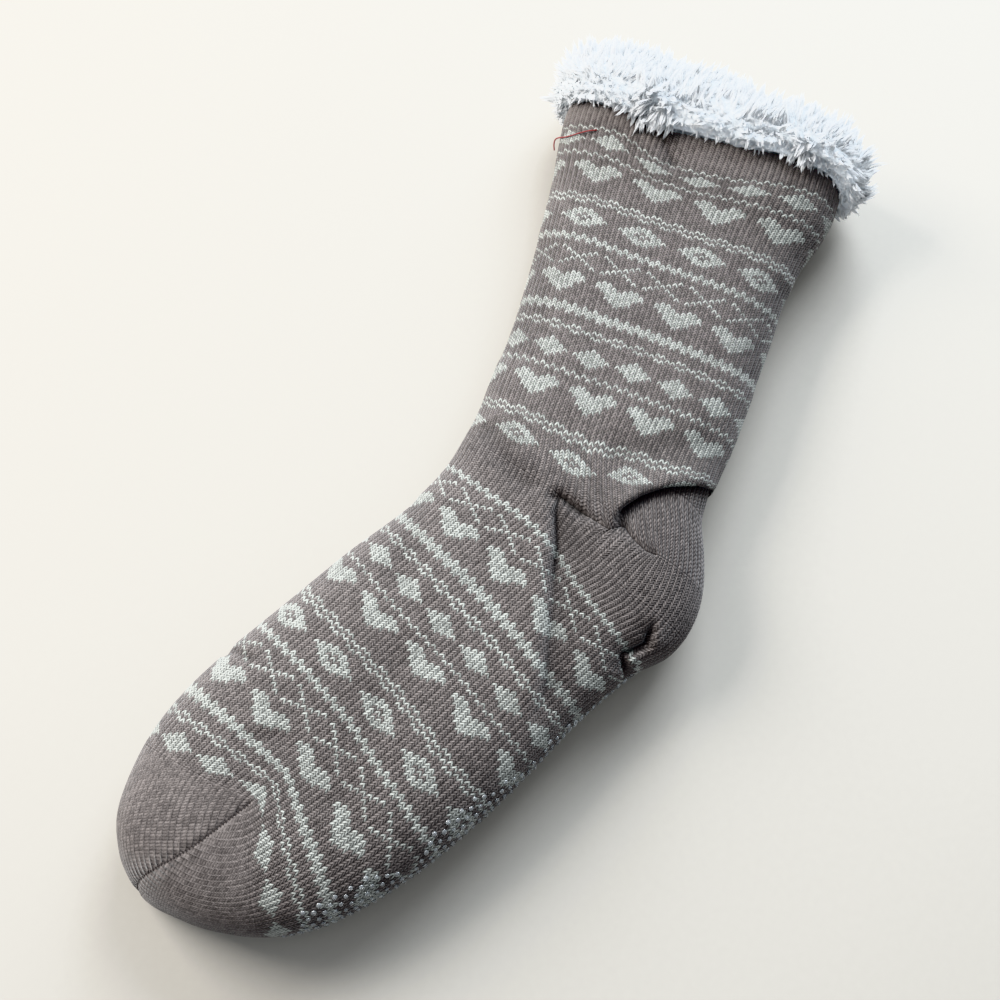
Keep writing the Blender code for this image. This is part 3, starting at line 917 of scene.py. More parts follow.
    def crease_drop(self, crease: Crease, plan: Points) -> Points:
        """How far a crease lowers each plan point, in millimetres."""
        knots = np.linspace(0.0, len(crease.places) - 1.0, CREASE_POINTS)
        places = through(np.array(crease.places), knots)
        line = self.surface.look_up(self.surface.points, places[:, 0], places[:, 1])[:, :2]
        best = np.full(len(plan), 1e9)
        signed = np.zeros(len(plan))
        share = np.zeros(len(plan))
        for number, (start, end) in enumerate(zip(line, line[1:])):
            run = end - start
            length = float(run @ run)
            along = np.clip((plan - start) @ run / length, 0.0, 1.0)
            away = plan - start - np.outer(along, run)
            distance = np.hypot(away[:, 0], away[:, 1])
            closer = distance < best
            side = np.sign(run[0] * away[:, 1] - run[1] * away[:, 0])
            best = np.where(closer, distance, best)
            signed = np.where(closer, distance * side, signed)
            share = np.where(closer, (number + along) / (len(line) - 1), share)
        fade = np.clip(np.minimum(share, 1.0 - share) * CREASE_END_FADE, 0.0, 1.0)
        fade = fade * fade * (3.0 - 2.0 * fade)
        ratio = best / (crease.half_width * MM)
        signed_ratio = signed / (crease.half_width * MM)
        slit = crease.slit * np.exp(-(best / (SLIT_HALF_WIDTH * MM)) ** 2)
        trough = crease.depth * np.exp(-ratio ** 2) + slit
        ridge = crease.step * np.tanh(signed_ratio) * np.exp(-(ratio / CREASE_STEP_REACH) ** 2)
        return (trough - ridge) * fade

    def build(self, name: str, part: tuple[Lay, Points, Points], bands: tuple[Band, ...],
              tables: tuple[Table, Table, Table], material: Material) -> Object:
        """Make one knitted piece.

        Args:
            name: The piece's name.
            part: Its stitches, vertex numbers and course numbers.
            bands: Its colour bands.
            tables: By course, how strongly the wales stand out, which sets how dark the painted
            shade in their valleys is, how clearly single stitches show, and how much painted light
            or, below 0, painted shade the fabric gets.
            material: Its finish.

        Returns:
            The piece.
        """
        lay, index, numbers = part
        points, depth = self.vertices(lay)
        columns, lines = self.columns, self.lines_per_wale
        # The rib table, read by course, sets how dark the painted valley shade is.
        valley_shade_rib, clear, pale = (self.by_course(table, numbers) for table in tables)
        wale_marks = np.append(self.wale_places, float(self.wales))
        faces, stitch_uv, yarns = [], [], []
        for row in range(len(index) - 1):
            course = int(round(numbers[row]))
            step = numbers[row + 1] - numbers[row]
            for column in range(columns):
                after = (column + 1) % columns
                near, far = wale_marks[column], wale_marks[column + 1]
                corners = ((row, column, near, 0.0), (row, after, far, 0.0),
                           (row + 1, after, far, step), (row + 1, column, near, step))
                face, marks = [], []
                for r, c, u, v in corners:
                    vertex = index[r, c]
                    if vertex not in face:
                        face.append(vertex)
                        marks.append((r, c, u, numbers[row] + v))
                if len(face) < 3:
                    continue
                light = yarn_at(bands, course, column // lines) is Yarn.LIGHT
                faces.append(face)
                for r, c, u, v in marks:
                    stitch_uv.append((u, v))
                    # Channels: light yarn, rib for the painted valley shade, painted shade of creases and
                    # dips less the painted light and shade by course, and stitch clearness.
                    yarns.append((1.0 if light else 0.0, valley_shade_rib[r], depth[r, c] - pale[r], clear[r]))
        corner_vertices = np.concatenate([np.array(face) for face in faces])
        used, compact = np.unique(corner_vertices, return_inverse=True)
        flat = points.reshape(-1, 3)[used]
        counts = [len(face) for face in faces]
        ends = np.cumsum(counts)
        new_faces = [compact[end - count:end].tolist() for end, count in zip(ends, counts)]
        mesh = bpy.data.meshes.new(name)
        mesh.from_pydata(flat.tolist(), [], new_faces)
        layer = mesh.uv_layers.new(name="stitch")
        layer.data.foreach_set("uv", np.array(stitch_uv, np.float32).ravel())
        colour = mesh.color_attributes.new("yarn", "FLOAT_COLOR", "CORNER")
        colour.data.foreach_set("color", np.array(yarns, np.float32).ravel())
        mesh.materials.append(material)
        mesh.shade_smooth()
        face_out_check(mesh)
        return link_piece(name, mesh)


def face_out_check(mesh: Mesh) -> None:
    """Turn a mesh's faces round if its highest one points down."""
    mesh.update()
    highest = max(mesh.polygons, key=lambda polygon: polygon.center.z)
    if highest.normal.z < 0.0:
        mesh.flip_normals()


def write_attribute(mesh: Mesh, name: str, values: Points) -> None:
    """Give a mesh's points a number each, or a vector each where the rows hold three.

    Args:
        mesh: The mesh.
        name: The attribute's name.
        values: The numbers in any shape, or the vectors a row each.
    """
    vectors = values.ndim == 2 and values.shape[1] == 3
    layer = mesh.attributes.new(name, "FLOAT_VECTOR" if vectors else "FLOAT", "POINT")
    layer.data.foreach_set("vector" if vectors else "value", values.astype(np.float32).ravel())


def link_piece(name: str, mesh: Mesh) -> Object:
    """Put a mesh in the scene as an object at the origin."""
    piece = bpy.data.objects.new(name, mesh)
    bpy.context.scene.collection.objects.link(piece)
    return piece


def maths(tree: NodeTree, operation: str, *terms: NodeSocket | float) -> NodeSocket:
    """The result of one sum on values or numbers."""
    return add_node(tree, "ShaderNodeMath", {"operation": operation}, dict(enumerate(terms))).outputs[0]


def scaled(tree: NodeTree, socket: NodeSocket, times: float, plus: float) -> NodeSocket:
    """A value multiplied by one number and raised by another."""
    return maths(tree, "MULTIPLY_ADD", socket, times, plus)


@dataclass(frozen=True)
class KnitYarn:
    """Two-ply acrylic sock yarn, knitted plain: matt and a little fuzzy, with painted shade between the
    wales.

    The pairs are how much a pattern changes the tone, and what is added. A single fibre of
    0.02 mm is too fine to show, so the fuzz is drawn about 0.6 mm across.
    """

    name: str = "acrylic_sock_knit"
    main: str = "#6c6562"
    light: str = "#a0a19b"
    # deep is the near-black colour that the painted shade blends the yarn toward.
    deep: str = "#181514"
    roughness: float = 0.92
    sheen: float = 0.2
    sheen_roughness: float = 0.5
    specular: float = 0.15
    # Painted shade: how far the wale valleys, plain and ribbed, each stitch's middle and the course lines
    # darken.
    plain_valley_shade: float = 0.52
    ribbed_valley_shade: float = 0.57
    spine_shade: float = 0.52
    course_line_shade: float = 0.66
    # How far the painted shade of creases and dips darkens the yarn.
    crease: float = 0.75
    even_tone: float = 0.55
    fibre_scale: float = 1700.0
    blotch_scale: float = 130.0
    fibre_tone: Pair = (2.2, -0.05)
    blotch_tone: Pair = (0.5, 0.78)
    stitch_tone: Pair = (0.66, 0.7)
    valley_sharpness: float = 6.0
    spine_sharpness: float = 9.0
    line_sharpness: float = 3.0
    relief: float = 0.35 * MM
    relief_strength: Pair = (0.5, 0.25)
    line_relief: float = -0.6
    fibre_relief: float = 0.7
    valley_relief: float = 0.9

    def build(self) -> Material:
        """Make the material."""
        material, tree, shader = new_material(self.name)
        uv = add_node(tree, "ShaderNodeUVMap", {"uv_map": "stitch"})
        marks = add_node(tree, "ShaderNodeSeparateXYZ", None, {0: uv.outputs[0]})
        wale, course = marks.outputs[0], marks.outputs[1]
        valley = self._ridge(tree, wale, "COSINE", self.valley_sharpness)
        spine_shade = self._ridge(tree, wale, "SINE", self.spine_sharpness)
        line = self._ridge(tree, course, "COSINE", self.line_sharpness)
        place = add_node(tree, "ShaderNodeTexCoord").outputs["Object"]
        fibre = add_node(tree, "ShaderNodeTexNoise", None,
                         {"Vector": place, "Scale": self.fibre_scale, "Detail": 3.0}).outputs[0]
        blotch = add_node(tree, "ShaderNodeTexNoise", None,
                          {"Vector": place, "Scale": self.blotch_scale, "Detail": 3.0}).outputs[0]
        stitch = self._chance(tree, wale, course)
        yarn = add_node(tree, "ShaderNodeAttribute", {"attribute_name": "yarn"})
        channel = add_node(tree, "ShaderNodeSeparateColor", None, {0: yarn.outputs["Color"]})
        base = add_node(tree, "ShaderNodeMix", {"data_type": "RGBA"},
                        {0: channel.outputs[0], 6: linear(self.main), 7: linear(self.light)})
        # Painted shade in the valleys between the wales, darker where the rib stands out more.
        rib_valley_shade_step = self.plain_valley_shade - self.ribbed_valley_shade
        deepest_valley_shade = scaled(tree, channel.outputs[1], rib_valley_shade_step, -self.plain_valley_shade)
        clear = yarn.outputs["Alpha"]
        factor = maths(tree, "MULTIPLY_ADD", valley, deepest_valley_shade, 1.0)
        # Painted shade along each stitch's middle and at the course lines.
        for mark, depth in ((spine_shade, self.spine_shade), (line, self.course_line_shade)):
            factor = maths(tree, "MULTIPLY", factor, scaled(tree, mark, -depth, 1.0))
        # Where single stitches show less clearly, the painted stitch shade gives way to an even one.
        even = scaled(tree, clear, -self.even_tone, self.even_tone)
        factor = maths(tree, "MULTIPLY_ADD", factor, clear, even)
        # Painted shade of creases and dips, less the painted light and shade by course, then the yarn's
        # own fibre, blotch and stitch tone.
        for mark, tone in ((channel.outputs[2], (-self.crease, 1.0)), (fibre, self.fibre_tone),
                           (blotch, self.blotch_tone), (stitch, self.stitch_tone)):
            factor = maths(tree, "MULTIPLY", factor, scaled(tree, mark, *tone))
        # The factor blends the yarn's colour toward the deep colour as painted shade.
        shade = add_node(tree, "ShaderNodeMix", {"data_type": "RGBA"},
                         {0: factor, 6: linear(self.deep), 7: base.outputs[2]})
        height = scaled(tree, line, self.line_relief, 1.0)
        height = maths(tree, "MULTIPLY_ADD", fibre, self.fibre_relief, height)
        height = maths(tree, "SUBTRACT", height, scaled(tree, valley, self.valley_relief, 0.0))
        strength = scaled(tree, clear, *self.relief_strength)
        bump = add_node(tree, "ShaderNodeBump", None,
                        {"Strength": strength, "Distance": self.relief, "Height": height})
        feed(tree, shader, {"Base Color": shade.outputs[2], "Normal": bump.outputs[0],
                            "Roughness": self.roughness, "Sheen Weight": self.sheen,
                            "Sheen Roughness": self.sheen_roughness,
                            "Specular IOR Level": self.specular})
        return material

    def _ridge(self, tree: NodeTree, mark: NodeSocket, wave: str, sharpness: float) -> NodeSocket:
        """A ridge at each whole step of a mark (COSINE) or halfway between (SINE)."""
        curve = maths(tree, wave, scaled(tree, mark, math.pi, 0.0))
        return maths(tree, "POWER", maths(tree, "ABSOLUTE", curve), sharpness)

    def _chance(self, tree: NodeTree, wale: NodeSocket, course: NodeSocket) -> NodeSocket:
        """A number of 0 to 1 for each leg of each stitch."""
        legs = maths(tree, "FLOOR", scaled(tree, wale, 2.0, 0.0))
        rows = maths(tree, "FLOOR", course)
        pair = add_node(tree, "ShaderNodeCombineXYZ", None, {0: legs, 1: rows})
        noise = add_node(tree, "ShaderNodeTexWhiteNoise", {"noise_dimensions": "2D"},
                         {"Vector": pair.outputs[0]})
        return noise.outputs["Value"]


@dataclass(frozen=True)
class FleecePile:
    """Long white polyester sherpa pile: matt fibres that let some light through, with faint painted shade
    at the roots.

    Strands are drawn about 1 mm apart along a tuft, because its real fibres are too fine to show.
    """

    tip: str = "#fefefe"
    # The root is a touch darker and bluer than the tip: faint painted shade where the tufts crowd.
    root: str = "#fcfdfe"
    through: float = 0.6
    strand_scale: float = 9.0
    roughness: float = 1.0
    sheen: float = 0.9
    relief: float = 0.3 * MM
    relief_strength: float = 0.6

    def build(self) -> Material:
        """Make the material."""
        material, tree, shader = new_material("white_sherpa_pile")
        fibre = add_node(tree, "ShaderNodeAttribute", {"attribute_name": "fibre"})
        marks = add_node(tree, "ShaderNodeSeparateXYZ", None, {0: fibre.outputs["Vector"]})
        # Painted shade along each blade, from the root colour to the tip colour.
        colour = add_node(tree, "ShaderNodeMix", {"data_type": "RGBA"},
                          {0: marks.outputs[0], 6: linear(self.root), 7: linear(self.tip)})
        strands = add_node(tree, "ShaderNodeTexNoise", {"noise_dimensions": "3D"},
                           {"Vector": fibre.outputs["Vector"], "Scale": self.strand_scale, "Detail": 2.0})
        bump = add_node(tree, "ShaderNodeBump", None,
                        {"Strength": self.relief_strength, "Distance": self.relief,
                         "Height": strands.outputs[0]})
        glow = add_node(tree, "ShaderNodeBsdfTranslucent", None, {"Color": colour.outputs[2]})
        both = add_node(tree, "ShaderNodeMixShader", None,
                        {0: self.through, 1: shader.outputs[0], 2: glow.outputs[0]})
        feed(tree, shader, {"Base Color": colour.outputs[2], "Normal": bump.outputs[0],
                            "Roughness": self.roughness, "Sheen Weight": self.sheen,
                            "Specular IOR Level": 0.0})
        feed(tree, tree.nodes["Material Output"], {"Surface": both.outputs[0]})
        return material


@dataclass(frozen=True)
class FleeceGround:
    """The pile's ground and the lining's face: short curled white fibre in small lumps, with painted
    bluish shade in the hollows.
    """

    # high colours the tops of the lumps; low is the painted bluish shade in the hollows between lumps and
    # curls.
    high: str = "#fcfdfe"
    low: str = "#e9f0f4"
    lump_scale: float = 480.0
    hollow_shade_range: Pair = (0.3, 1.2)
    curls_per_lump: float = 4.0
    curl_share: float = 0.7
    roughness: float = 0.96
    sheen: float = 0.3
    relief: float = 1.5 * MM

    def build(self) -> Material:
        """Make the material."""
        material, tree, shader = new_material("white_sherpa_ground")
        place = add_node(tree, "ShaderNodeTexCoord")
        lumps = add_node(tree, "ShaderNodeTexVoronoi", {"feature": "SMOOTH_F1"},
                         {"Vector": place.outputs["Object"], "Scale": self.lump_scale})
        curl_scale = self.lump_scale * self.curls_per_lump
        curls = add_node(tree, "ShaderNodeTexNoise", None,
                         {"Vector": place.outputs["Object"], "Scale": curl_scale, "Detail": 4.0})
        depth = maths(tree, "MULTIPLY_ADD", curls.outputs[0], self.curl_share, lumps.outputs[0])
        # Painted shade: the deeper a place lies between lumps and curls, the nearer its colour is to low.
        least, most = self.hollow_shade_range
        hollow_shade_mix = add_node(tree, "ShaderNodeMapRange", None, {0: depth, 1: least, 2: most, 3: 1.0, 4: 0.0})
        colour = add_node(tree, "ShaderNodeMix", {"data_type": "RGBA"},
                          {0: hollow_shade_mix.outputs[0], 6: linear(self.low), 7: linear(self.high)})
        bump = add_node(tree, "ShaderNodeBump", {"invert": True},
                        {"Strength": 1.0, "Distance": self.relief, "Height": depth})
        feed(tree, shader, {"Base Color": colour.outputs[2], "Normal": bump.outputs[0],
                            "Roughness": self.roughness, "Sheen Weight": self.sheen})
        return material


@dataclass(frozen=True)
class PlainFinish:
    """A small part's finish, with a faint grain of about a millimetre that breaks up its tone."""

    name: str
    colour: str
    roughness: float
    grain: float = 900.0
    grain_depth: float = 0.3
    transmission: float = 0.0
    coat: float = 0.0

    def build(self) -> Material:
        """Make the material."""
        material, tree, shader = new_material(self.name)
        place = add_node(tree, "ShaderNodeTexCoord")
        grain = add_node(tree, "ShaderNodeTexNoise", None,
                         {"Vector": place.outputs["Object"], "Scale": self.grain, "Detail": 2.0})
        tone = scaled(tree, grain.outputs[0], self.grain_depth, 1.0 - self.grain_depth / 2.0)
        base = add_node(tree, "ShaderNodeRGB")
        base.outputs[0].default_value = linear(self.colour)
        colour = add_node(tree, "ShaderNodeVectorMath", {"operation": "SCALE"},
                          {0: base.outputs[0], "Scale": tone})
        feed(tree, shader, {"Base Color": colour.outputs[0], "Roughness": self.roughness,
                            "Transmission Weight": self.transmission, "Coat Weight": self.coat})
        return material


@dataclass
class NodesTree:
    """A Geometry Nodes tree that is used once on a base mesh and then made a plain mesh."""

    name: str

    def __post_init__(self) -> None:
        """Start the tree with its geometry in and out."""
        self.tree = bpy.data.node_groups.new(self.name, "GeometryNodeTree")
        self.tree.interface.new_socket("Geometry", in_out="INPUT", socket_type="NodeSocketGeometry")
        self.tree.interface.new_socket("Geometry", in_out="OUTPUT", socket_type="NodeSocketGeometry")
        self.sockets: dict[str, str] = {}
        self.start = self.tree.nodes.new("NodeGroupInput")
        self.end = self.tree.nodes.new("NodeGroupOutput")

    def add_input(self, name: str, kind: str) -> NodeSocket:
        """Add a named input.

        Args:
            name: The input's name.
            kind: The socket's type name.

        Returns:
            The socket that gives its value inside the tree.
        """
        item = self.tree.interface.new_socket(name, in_out="INPUT", socket_type=kind)
        self.sockets[name] = item.identifier
        return self.start.outputs[name]

    def close(self, put: Node, finish: NodeSocket) -> None:
        """Make the instances real, give them their finish and lead them out."""
        real = add_node(self.tree, "GeometryNodeRealizeInstances", None, {0: put.outputs[0]})
        dressed = add_node(self.tree, "GeometryNodeSetMaterial", None,
                           {0: real.outputs[0], "Material": finish})
        self.tree.links.new(dressed.outputs[0], self.end.inputs[0])

    def run(self, base: Object, name: str, values: dict) -> Object:
        """Run the tree on a base object and keep the result.

        Args:
            base: The object with the points or faces; it is removed.
            name: The finished piece's name.
            values: Input name to value.

        Returns:
            The finished piece, a plain mesh at the origin.
        """
        modifier = base.modifiers.new(self.name, "NODES")
        modifier.node_group = self.tree
        for key, value in values.items():
            modifier[self.sockets[key]] = value
        graph = bpy.context.evaluated_depsgraph_get()
        mesh = bpy.data.meshes.new_from_object(base.evaluated_get(graph), depsgraph=graph)
        mesh.name = name
        base.modifiers.remove(modifier)
        bpy.data.objects.remove(base, do_unlink=True)
        return link_piece(name, mesh)


def attribute(tree: NodeTree, name: str, kind: str) -> NodeSocket:
    """Read a named attribute in a Geometry Nodes tree."""
    node = add_node(tree, "GeometryNodeInputNamedAttribute", {"data_type": kind}, {"Name": name})
    return node.outputs[0]


def chance(tree: NodeTree, kind: str, place: int, least: object, most: object,
           seed: NodeSocket) -> NodeSocket:
    """A random value for each point; place is the kind's number among the node's outputs."""
    node = add_node(tree, "FunctionNodeRandomValue", {"data_type": kind},
                    {2 * place: least, 2 * place + 1: most, "Seed": seed})
    return node.outputs[place]


LOCK_KINDS = 8
"""How many unlike locks the pile is laid from."""
LOCK_STRAY = 0.34
"""How far a lock strays from its comb vector."""
LOCK_SPIN = 0.8
"""How far a lock is turned about its own length, radians."""
LOCK_SCALES = (0.62, 1.15)
"""Smallest and largest scale of a lock."""


def pile_tree() -> NodesTree:
    """Locks of pile scattered over a ground, along its "comb" vectors and flat to its "away" ones.

    Returns:
        The tree, with inputs Locks, Density, Spacing, Seed and Finish.
    """
    made = NodesTree("lay_pile")
    tree = made.tree
    locks = made.add_input("Locks", "NodeSocketCollection")
    density = made.add_input("Density", "NodeSocketFloat")
    spacing = made.add_input("Spacing", "NodeSocketFloat")
    seed = made.add_input("Seed", "NodeSocketInt")
    finish = made.add_input("Finish", "NodeSocketMaterial")
    scatter = add_node(tree, "GeometryNodeDistributePointsOnFaces", {"distribute_method": "POISSON"}, {
        "Mesh": made.start.outputs["Geometry"], "Distance Min": spacing, "Density Max": density,
        "Density Factor": attribute(tree, "thickness", "FLOAT"), "Seed": seed})
    stray = chance(tree, "FLOAT_VECTOR", 0, (-LOCK_STRAY,) * 3, (LOCK_STRAY,) * 3, seed)
    combed = add_node(tree, "ShaderNodeVectorMath", {"operation": "ADD"},
                      {0: attribute(tree, "comb", "FLOAT_VECTOR"), 1: stray})
    aim = add_node(tree, "FunctionNodeAlignRotationToVector", {"axis": "Z"}, {"Vector": combed.outputs[0]})
    flat = add_node(tree, "FunctionNodeAlignRotationToVector", {"axis": "X", "pivot_axis": "Z"},
                    {"Rotation": aim.outputs[0], "Vector": attribute(tree, "away", "FLOAT_VECTOR")})
    spin = chance(tree, "FLOAT", 1, -LOCK_SPIN, LOCK_SPIN, seed)
    twist = add_node(tree, "FunctionNodeAxisAngleToRotation", None, {"Angle": spin})
    turn = add_node(tree, "FunctionNodeRotateRotation", {"rotation_space": "LOCAL"},
                    {0: flat.outputs[0], 1: twist.outputs[0]})
    size = chance(tree, "FLOAT", 1, *LOCK_SCALES, seed)
    scale = maths(tree, "MULTIPLY", size, attribute(tree, "length", "FLOAT"))
    kinds = add_node(tree, "GeometryNodeCollectionInfo", None, {
        "Collection": locks, "Separate Children": True, "Reset Children": True})
    kind = chance(tree, "INT", 2, 0, LOCK_KINDS - 1, seed)
    put = add_node(tree, "GeometryNodeInstanceOnPoints", None, {
        "Points": scatter.outputs["Points"], "Instance": kinds.outputs[0],
        "Pick Instance": True, "Instance Index": kind,
        "Rotation": turn.outputs[0], "Scale": scale})
    made.close(put, finish)
    return made


def row_tree() -> NodesTree:
    """Small parts set on points, standing along "up" and turned along "way".

    Returns:
        The tree, with inputs Part and Finish.
    """
    made = NodesTree("set_on_points")
    tree = made.tree
    part = made.add_input("Part", "NodeSocketObject")
    finish = made.add_input("Finish", "NodeSocketMaterial")
    aim = add_node(tree, "FunctionNodeAlignRotationToVector", {"axis": "Z"},
                   {"Vector": attribute(tree, "up", "FLOAT_VECTOR")})
    turn = add_node(tree, "FunctionNodeAlignRotationToVector", {"axis": "X", "pivot_axis": "Z"},
                    {"Rotation": aim.outputs[0], "Vector": attribute(tree, "way", "FLOAT_VECTOR")})
    source = add_node(tree, "GeometryNodeObjectInfo", None, {"Object": part})
    put = add_node(tree, "GeometryNodeInstanceOnPoints", None, {
        "Points": made.start.outputs["Geometry"], "Instance": source.outputs["Geometry"],
        "Rotation": turn.outputs[0], "Scale": attribute(tree, "size", "FLOAT")})
    made.close(put, finish)
    return made


def point_base(name: str, points: list[Vector], ups: list[Vector], ways: list[Vector],
               sizes: list[float]) -> Object:
    """A mesh of loose points with the attributes that row_tree reads.

    Args:
        name: The base's name.
        points: Where the parts go.
        ups: Which way each stands.
        ways: Which way each is turned.
        sizes: The scale of each.

    Returns:
        The base object.
    """
    mesh = bpy.data.meshes.new(name)
    mesh.from_pydata([tuple(point) for point in points], [], [])
    write_attribute(mesh, "up", np.array([tuple(up) for up in ups]))
    write_attribute(mesh, "way", np.array([tuple(way) for way in ways]))
    write_attribute(mesh, "size", np.array(sizes))
    return link_piece(name, mesh)


def tube(path: Points, radii: Points, sides: int) -> tuple[list, list]:
    """A tube round a path, closed at both ends.

    Args:
        path: Points of the centre line.
        radii: The radius at each.
        sides: How many sides.

    Returns:
        Vertices and faces.
    """
    way = np.gradient(path, axis=0)
    way /= np.maximum(np.linalg.norm(way, axis=1, keepdims=True), 1e-12)
    guide = np.array([0.31, 0.95, 0.11])
    side = np.cross(way, guide)
    side /= np.maximum(np.linalg.norm(side, axis=1, keepdims=True), 1e-12)
    other = np.cross(way, side)
    vertices = []
    for point, a, b, radius in zip(path, side, other, radii):
        for step in range(sides):
            angle = 2.0 * math.pi * step / sides
            vertices.append(point + (a * math.cos(angle) + b * math.sin(angle)) * radius)
    faces = []
    for row in range(len(path) - 1):
        for step in range(sides):
            after = (step + 1) % sides
            faces.append((row * sides + step, row * sides + after,
                          (row + 1) * sides + after, (row + 1) * sides + step))
    faces.append(tuple(range(sides - 1, -1, -1)))
    faces.append(tuple((len(path) - 1) * sides + step for step in range(sides)))
    return vertices, faces


@dataclass
class Lock:
    """A flat pointed tuft of pile: blades of fibre side by side that bend together to a ragged tip."""

    blades: int = 7
    length: float = 8.5 * MM
    spread: float = 1.25 * MM
    width: float = 0.36 * MM
    thick: float = 0.16 * MM
    stray: float = 0.5 * MM
    steps: int = 3
    lean: Pair = (-0.7, 0.9)
    lean_curve: float = 1.3
    shortest: float = 0.68
    outer_loss: float = 0.22
    gather: Pair = (0.7, 1.4)
    drift_turn: float = 0.8
    belly: Pair = (0.75, 0.5)
    sunk: float = 0.1
    fibre_steps: Triple = (1.7, 3.1, 2.3)

    def build(self, seed: int) -> Object:
        """Make the tuft standing on the origin along +Z, its flat side to +X.

        Args:
            seed: The number that its blades' chance follows.

        Returns:
            The tuft.
        """
        chance = np.random.default_rng(seed)
        vertices, faces, fibre = [], [], []
        lean = chance.uniform(*self.lean) * np.linspace(0.0, 1.0, self.steps + 1) ** self.lean_curve
        by_corner, by_blade, by_seed = self.fibre_steps
        for number in range(self.blades):
            beside = 2.0 * number / (self.blades - 1.0) - 1.0
            rings = self._blade(chance, beside, lean)
            start = len(vertices)
            vertices += [tuple(point) for ring in rings for point in ring]
            count = len(rings) - 1
            for row in range(count):
                for corner in range(4):
                    after = (corner + 1) % 4
                    low, high = start + row * 4, start + row * 4 + 4
                    if row == count - 1:
                        faces.append((low + corner, low + after, high))
                    else:
                        faces.append((low + corner, low + after, high + after, high + corner))
            for row, ring in enumerate(rings):
                for corner in range(len(ring)):
                    fibre.append((row / count, corner * by_corner + number * by_blade, seed * by_seed))
        mesh = bpy.data.meshes.new(f"lock_{seed}")
        mesh.from_pydata(vertices, [], faces)
        write_attribute(mesh, "fibre", np.array(fibre))
        mesh.shade_smooth()
        return bpy.data.objects.new(f"lock_{seed}", mesh)

    def _blade(self, chance: np.random.Generator, beside: float, lean: Points) -> list[Points]:
        """Cross-sections of one blade, the last of them a single point.

        Args:
            chance: Where its chance comes from.
            beside: Its place across the tuft, -1 to 1.
            lean: How far the tuft leans at each step, radians.

        Returns:
            Four points a step, then the tip.
        """
        share = np.linspace(0.0, 1.0, self.steps + 1)
        length = self.length * chance.uniform(self.shortest, 1.0)
        size = length * (1.0 - self.outer_loss * beside ** 2) / self.steps
        run_x = np.concatenate([[0.0], np.cumsum(np.sin(lean[1:]))]) * size
        run_z = np.concatenate([[0.0], np.cumsum(np.cos(lean[1:]))]) * size
        gather = 1.0 - self.gather[0] * share ** self.gather[1]
        drift = self.stray * np.sin(share * math.pi * self.drift_turn)
        x = run_x + drift * chance.uniform(-1.0, 1.0) + (1.0 - beside ** 2) * self.thick
        y = beside * self.spread * gather + drift * chance.uniform(-1.0, 1.0)
        z = run_z - self.sunk * self.length
        narrow, swell = self.belly
        rings = []
        for row in range(self.steps):
            flat = self.width * (narrow + swell * math.sin(share[row] * math.pi)) * (1.0 - share[row] ** 3)
            middle = np.array([x[row], y[row], z[row]])
            over = np.array([math.cos(lean[row]), 0.0, -math.sin(lean[row])]) * self.thick
            side = np.array([0.0, flat, 0.0])
            rings.append(np.array([middle + side, middle + over, middle - side, middle - over]))
        rings.append(np.array([[x[-1], y[-1], z[-1]]]))
        return rings


def lock_collection() -> Collection:
    """The kinds of lock, in a collection that isn't in the scene."""
    kinds = bpy.data.collections.new("lock_kinds")
    for seed in range(LOCK_KINDS):
        kinds.objects.link(Lock().build(seed))
    return kinds


def rolling(values: Points, seed: int, waves: int = 9, low: float = 2.0, high: float = 9.0) -> Points:
    """Smooth chance over pairs of numbers, about -1 to 1.

    Args:
        values: Pairs, the first of which closes on itself each whole step.
        seed: The number that the chance follows.
        waves: How many waves are added.
        low: Fewest waves in a step.
        high: Most waves in a step.

    Returns:
        A number for each pair.
    """
    chance = np.random.default_rng(seed)
    total = np.zeros(values.shape[:-1])
    for _ in range(waves):
        first = round(chance.uniform(-high, high))
        second = round(chance.uniform(low, high))
        total += np.sin(2.0 * math.pi * (first * values[..., 0] + second * values[..., 1])
                        + chance.uniform(0.0, 6.28))
    return total / math.sqrt(waves) * 0.8


@dataclass
class Roll:
    """The roll's ground laid out: a row a turn, a column a place on the cross-section."""

    turns: Points
    ring: Points
    points: Points
    onward: Points
    out: Points
    away: Points
    marks: Points


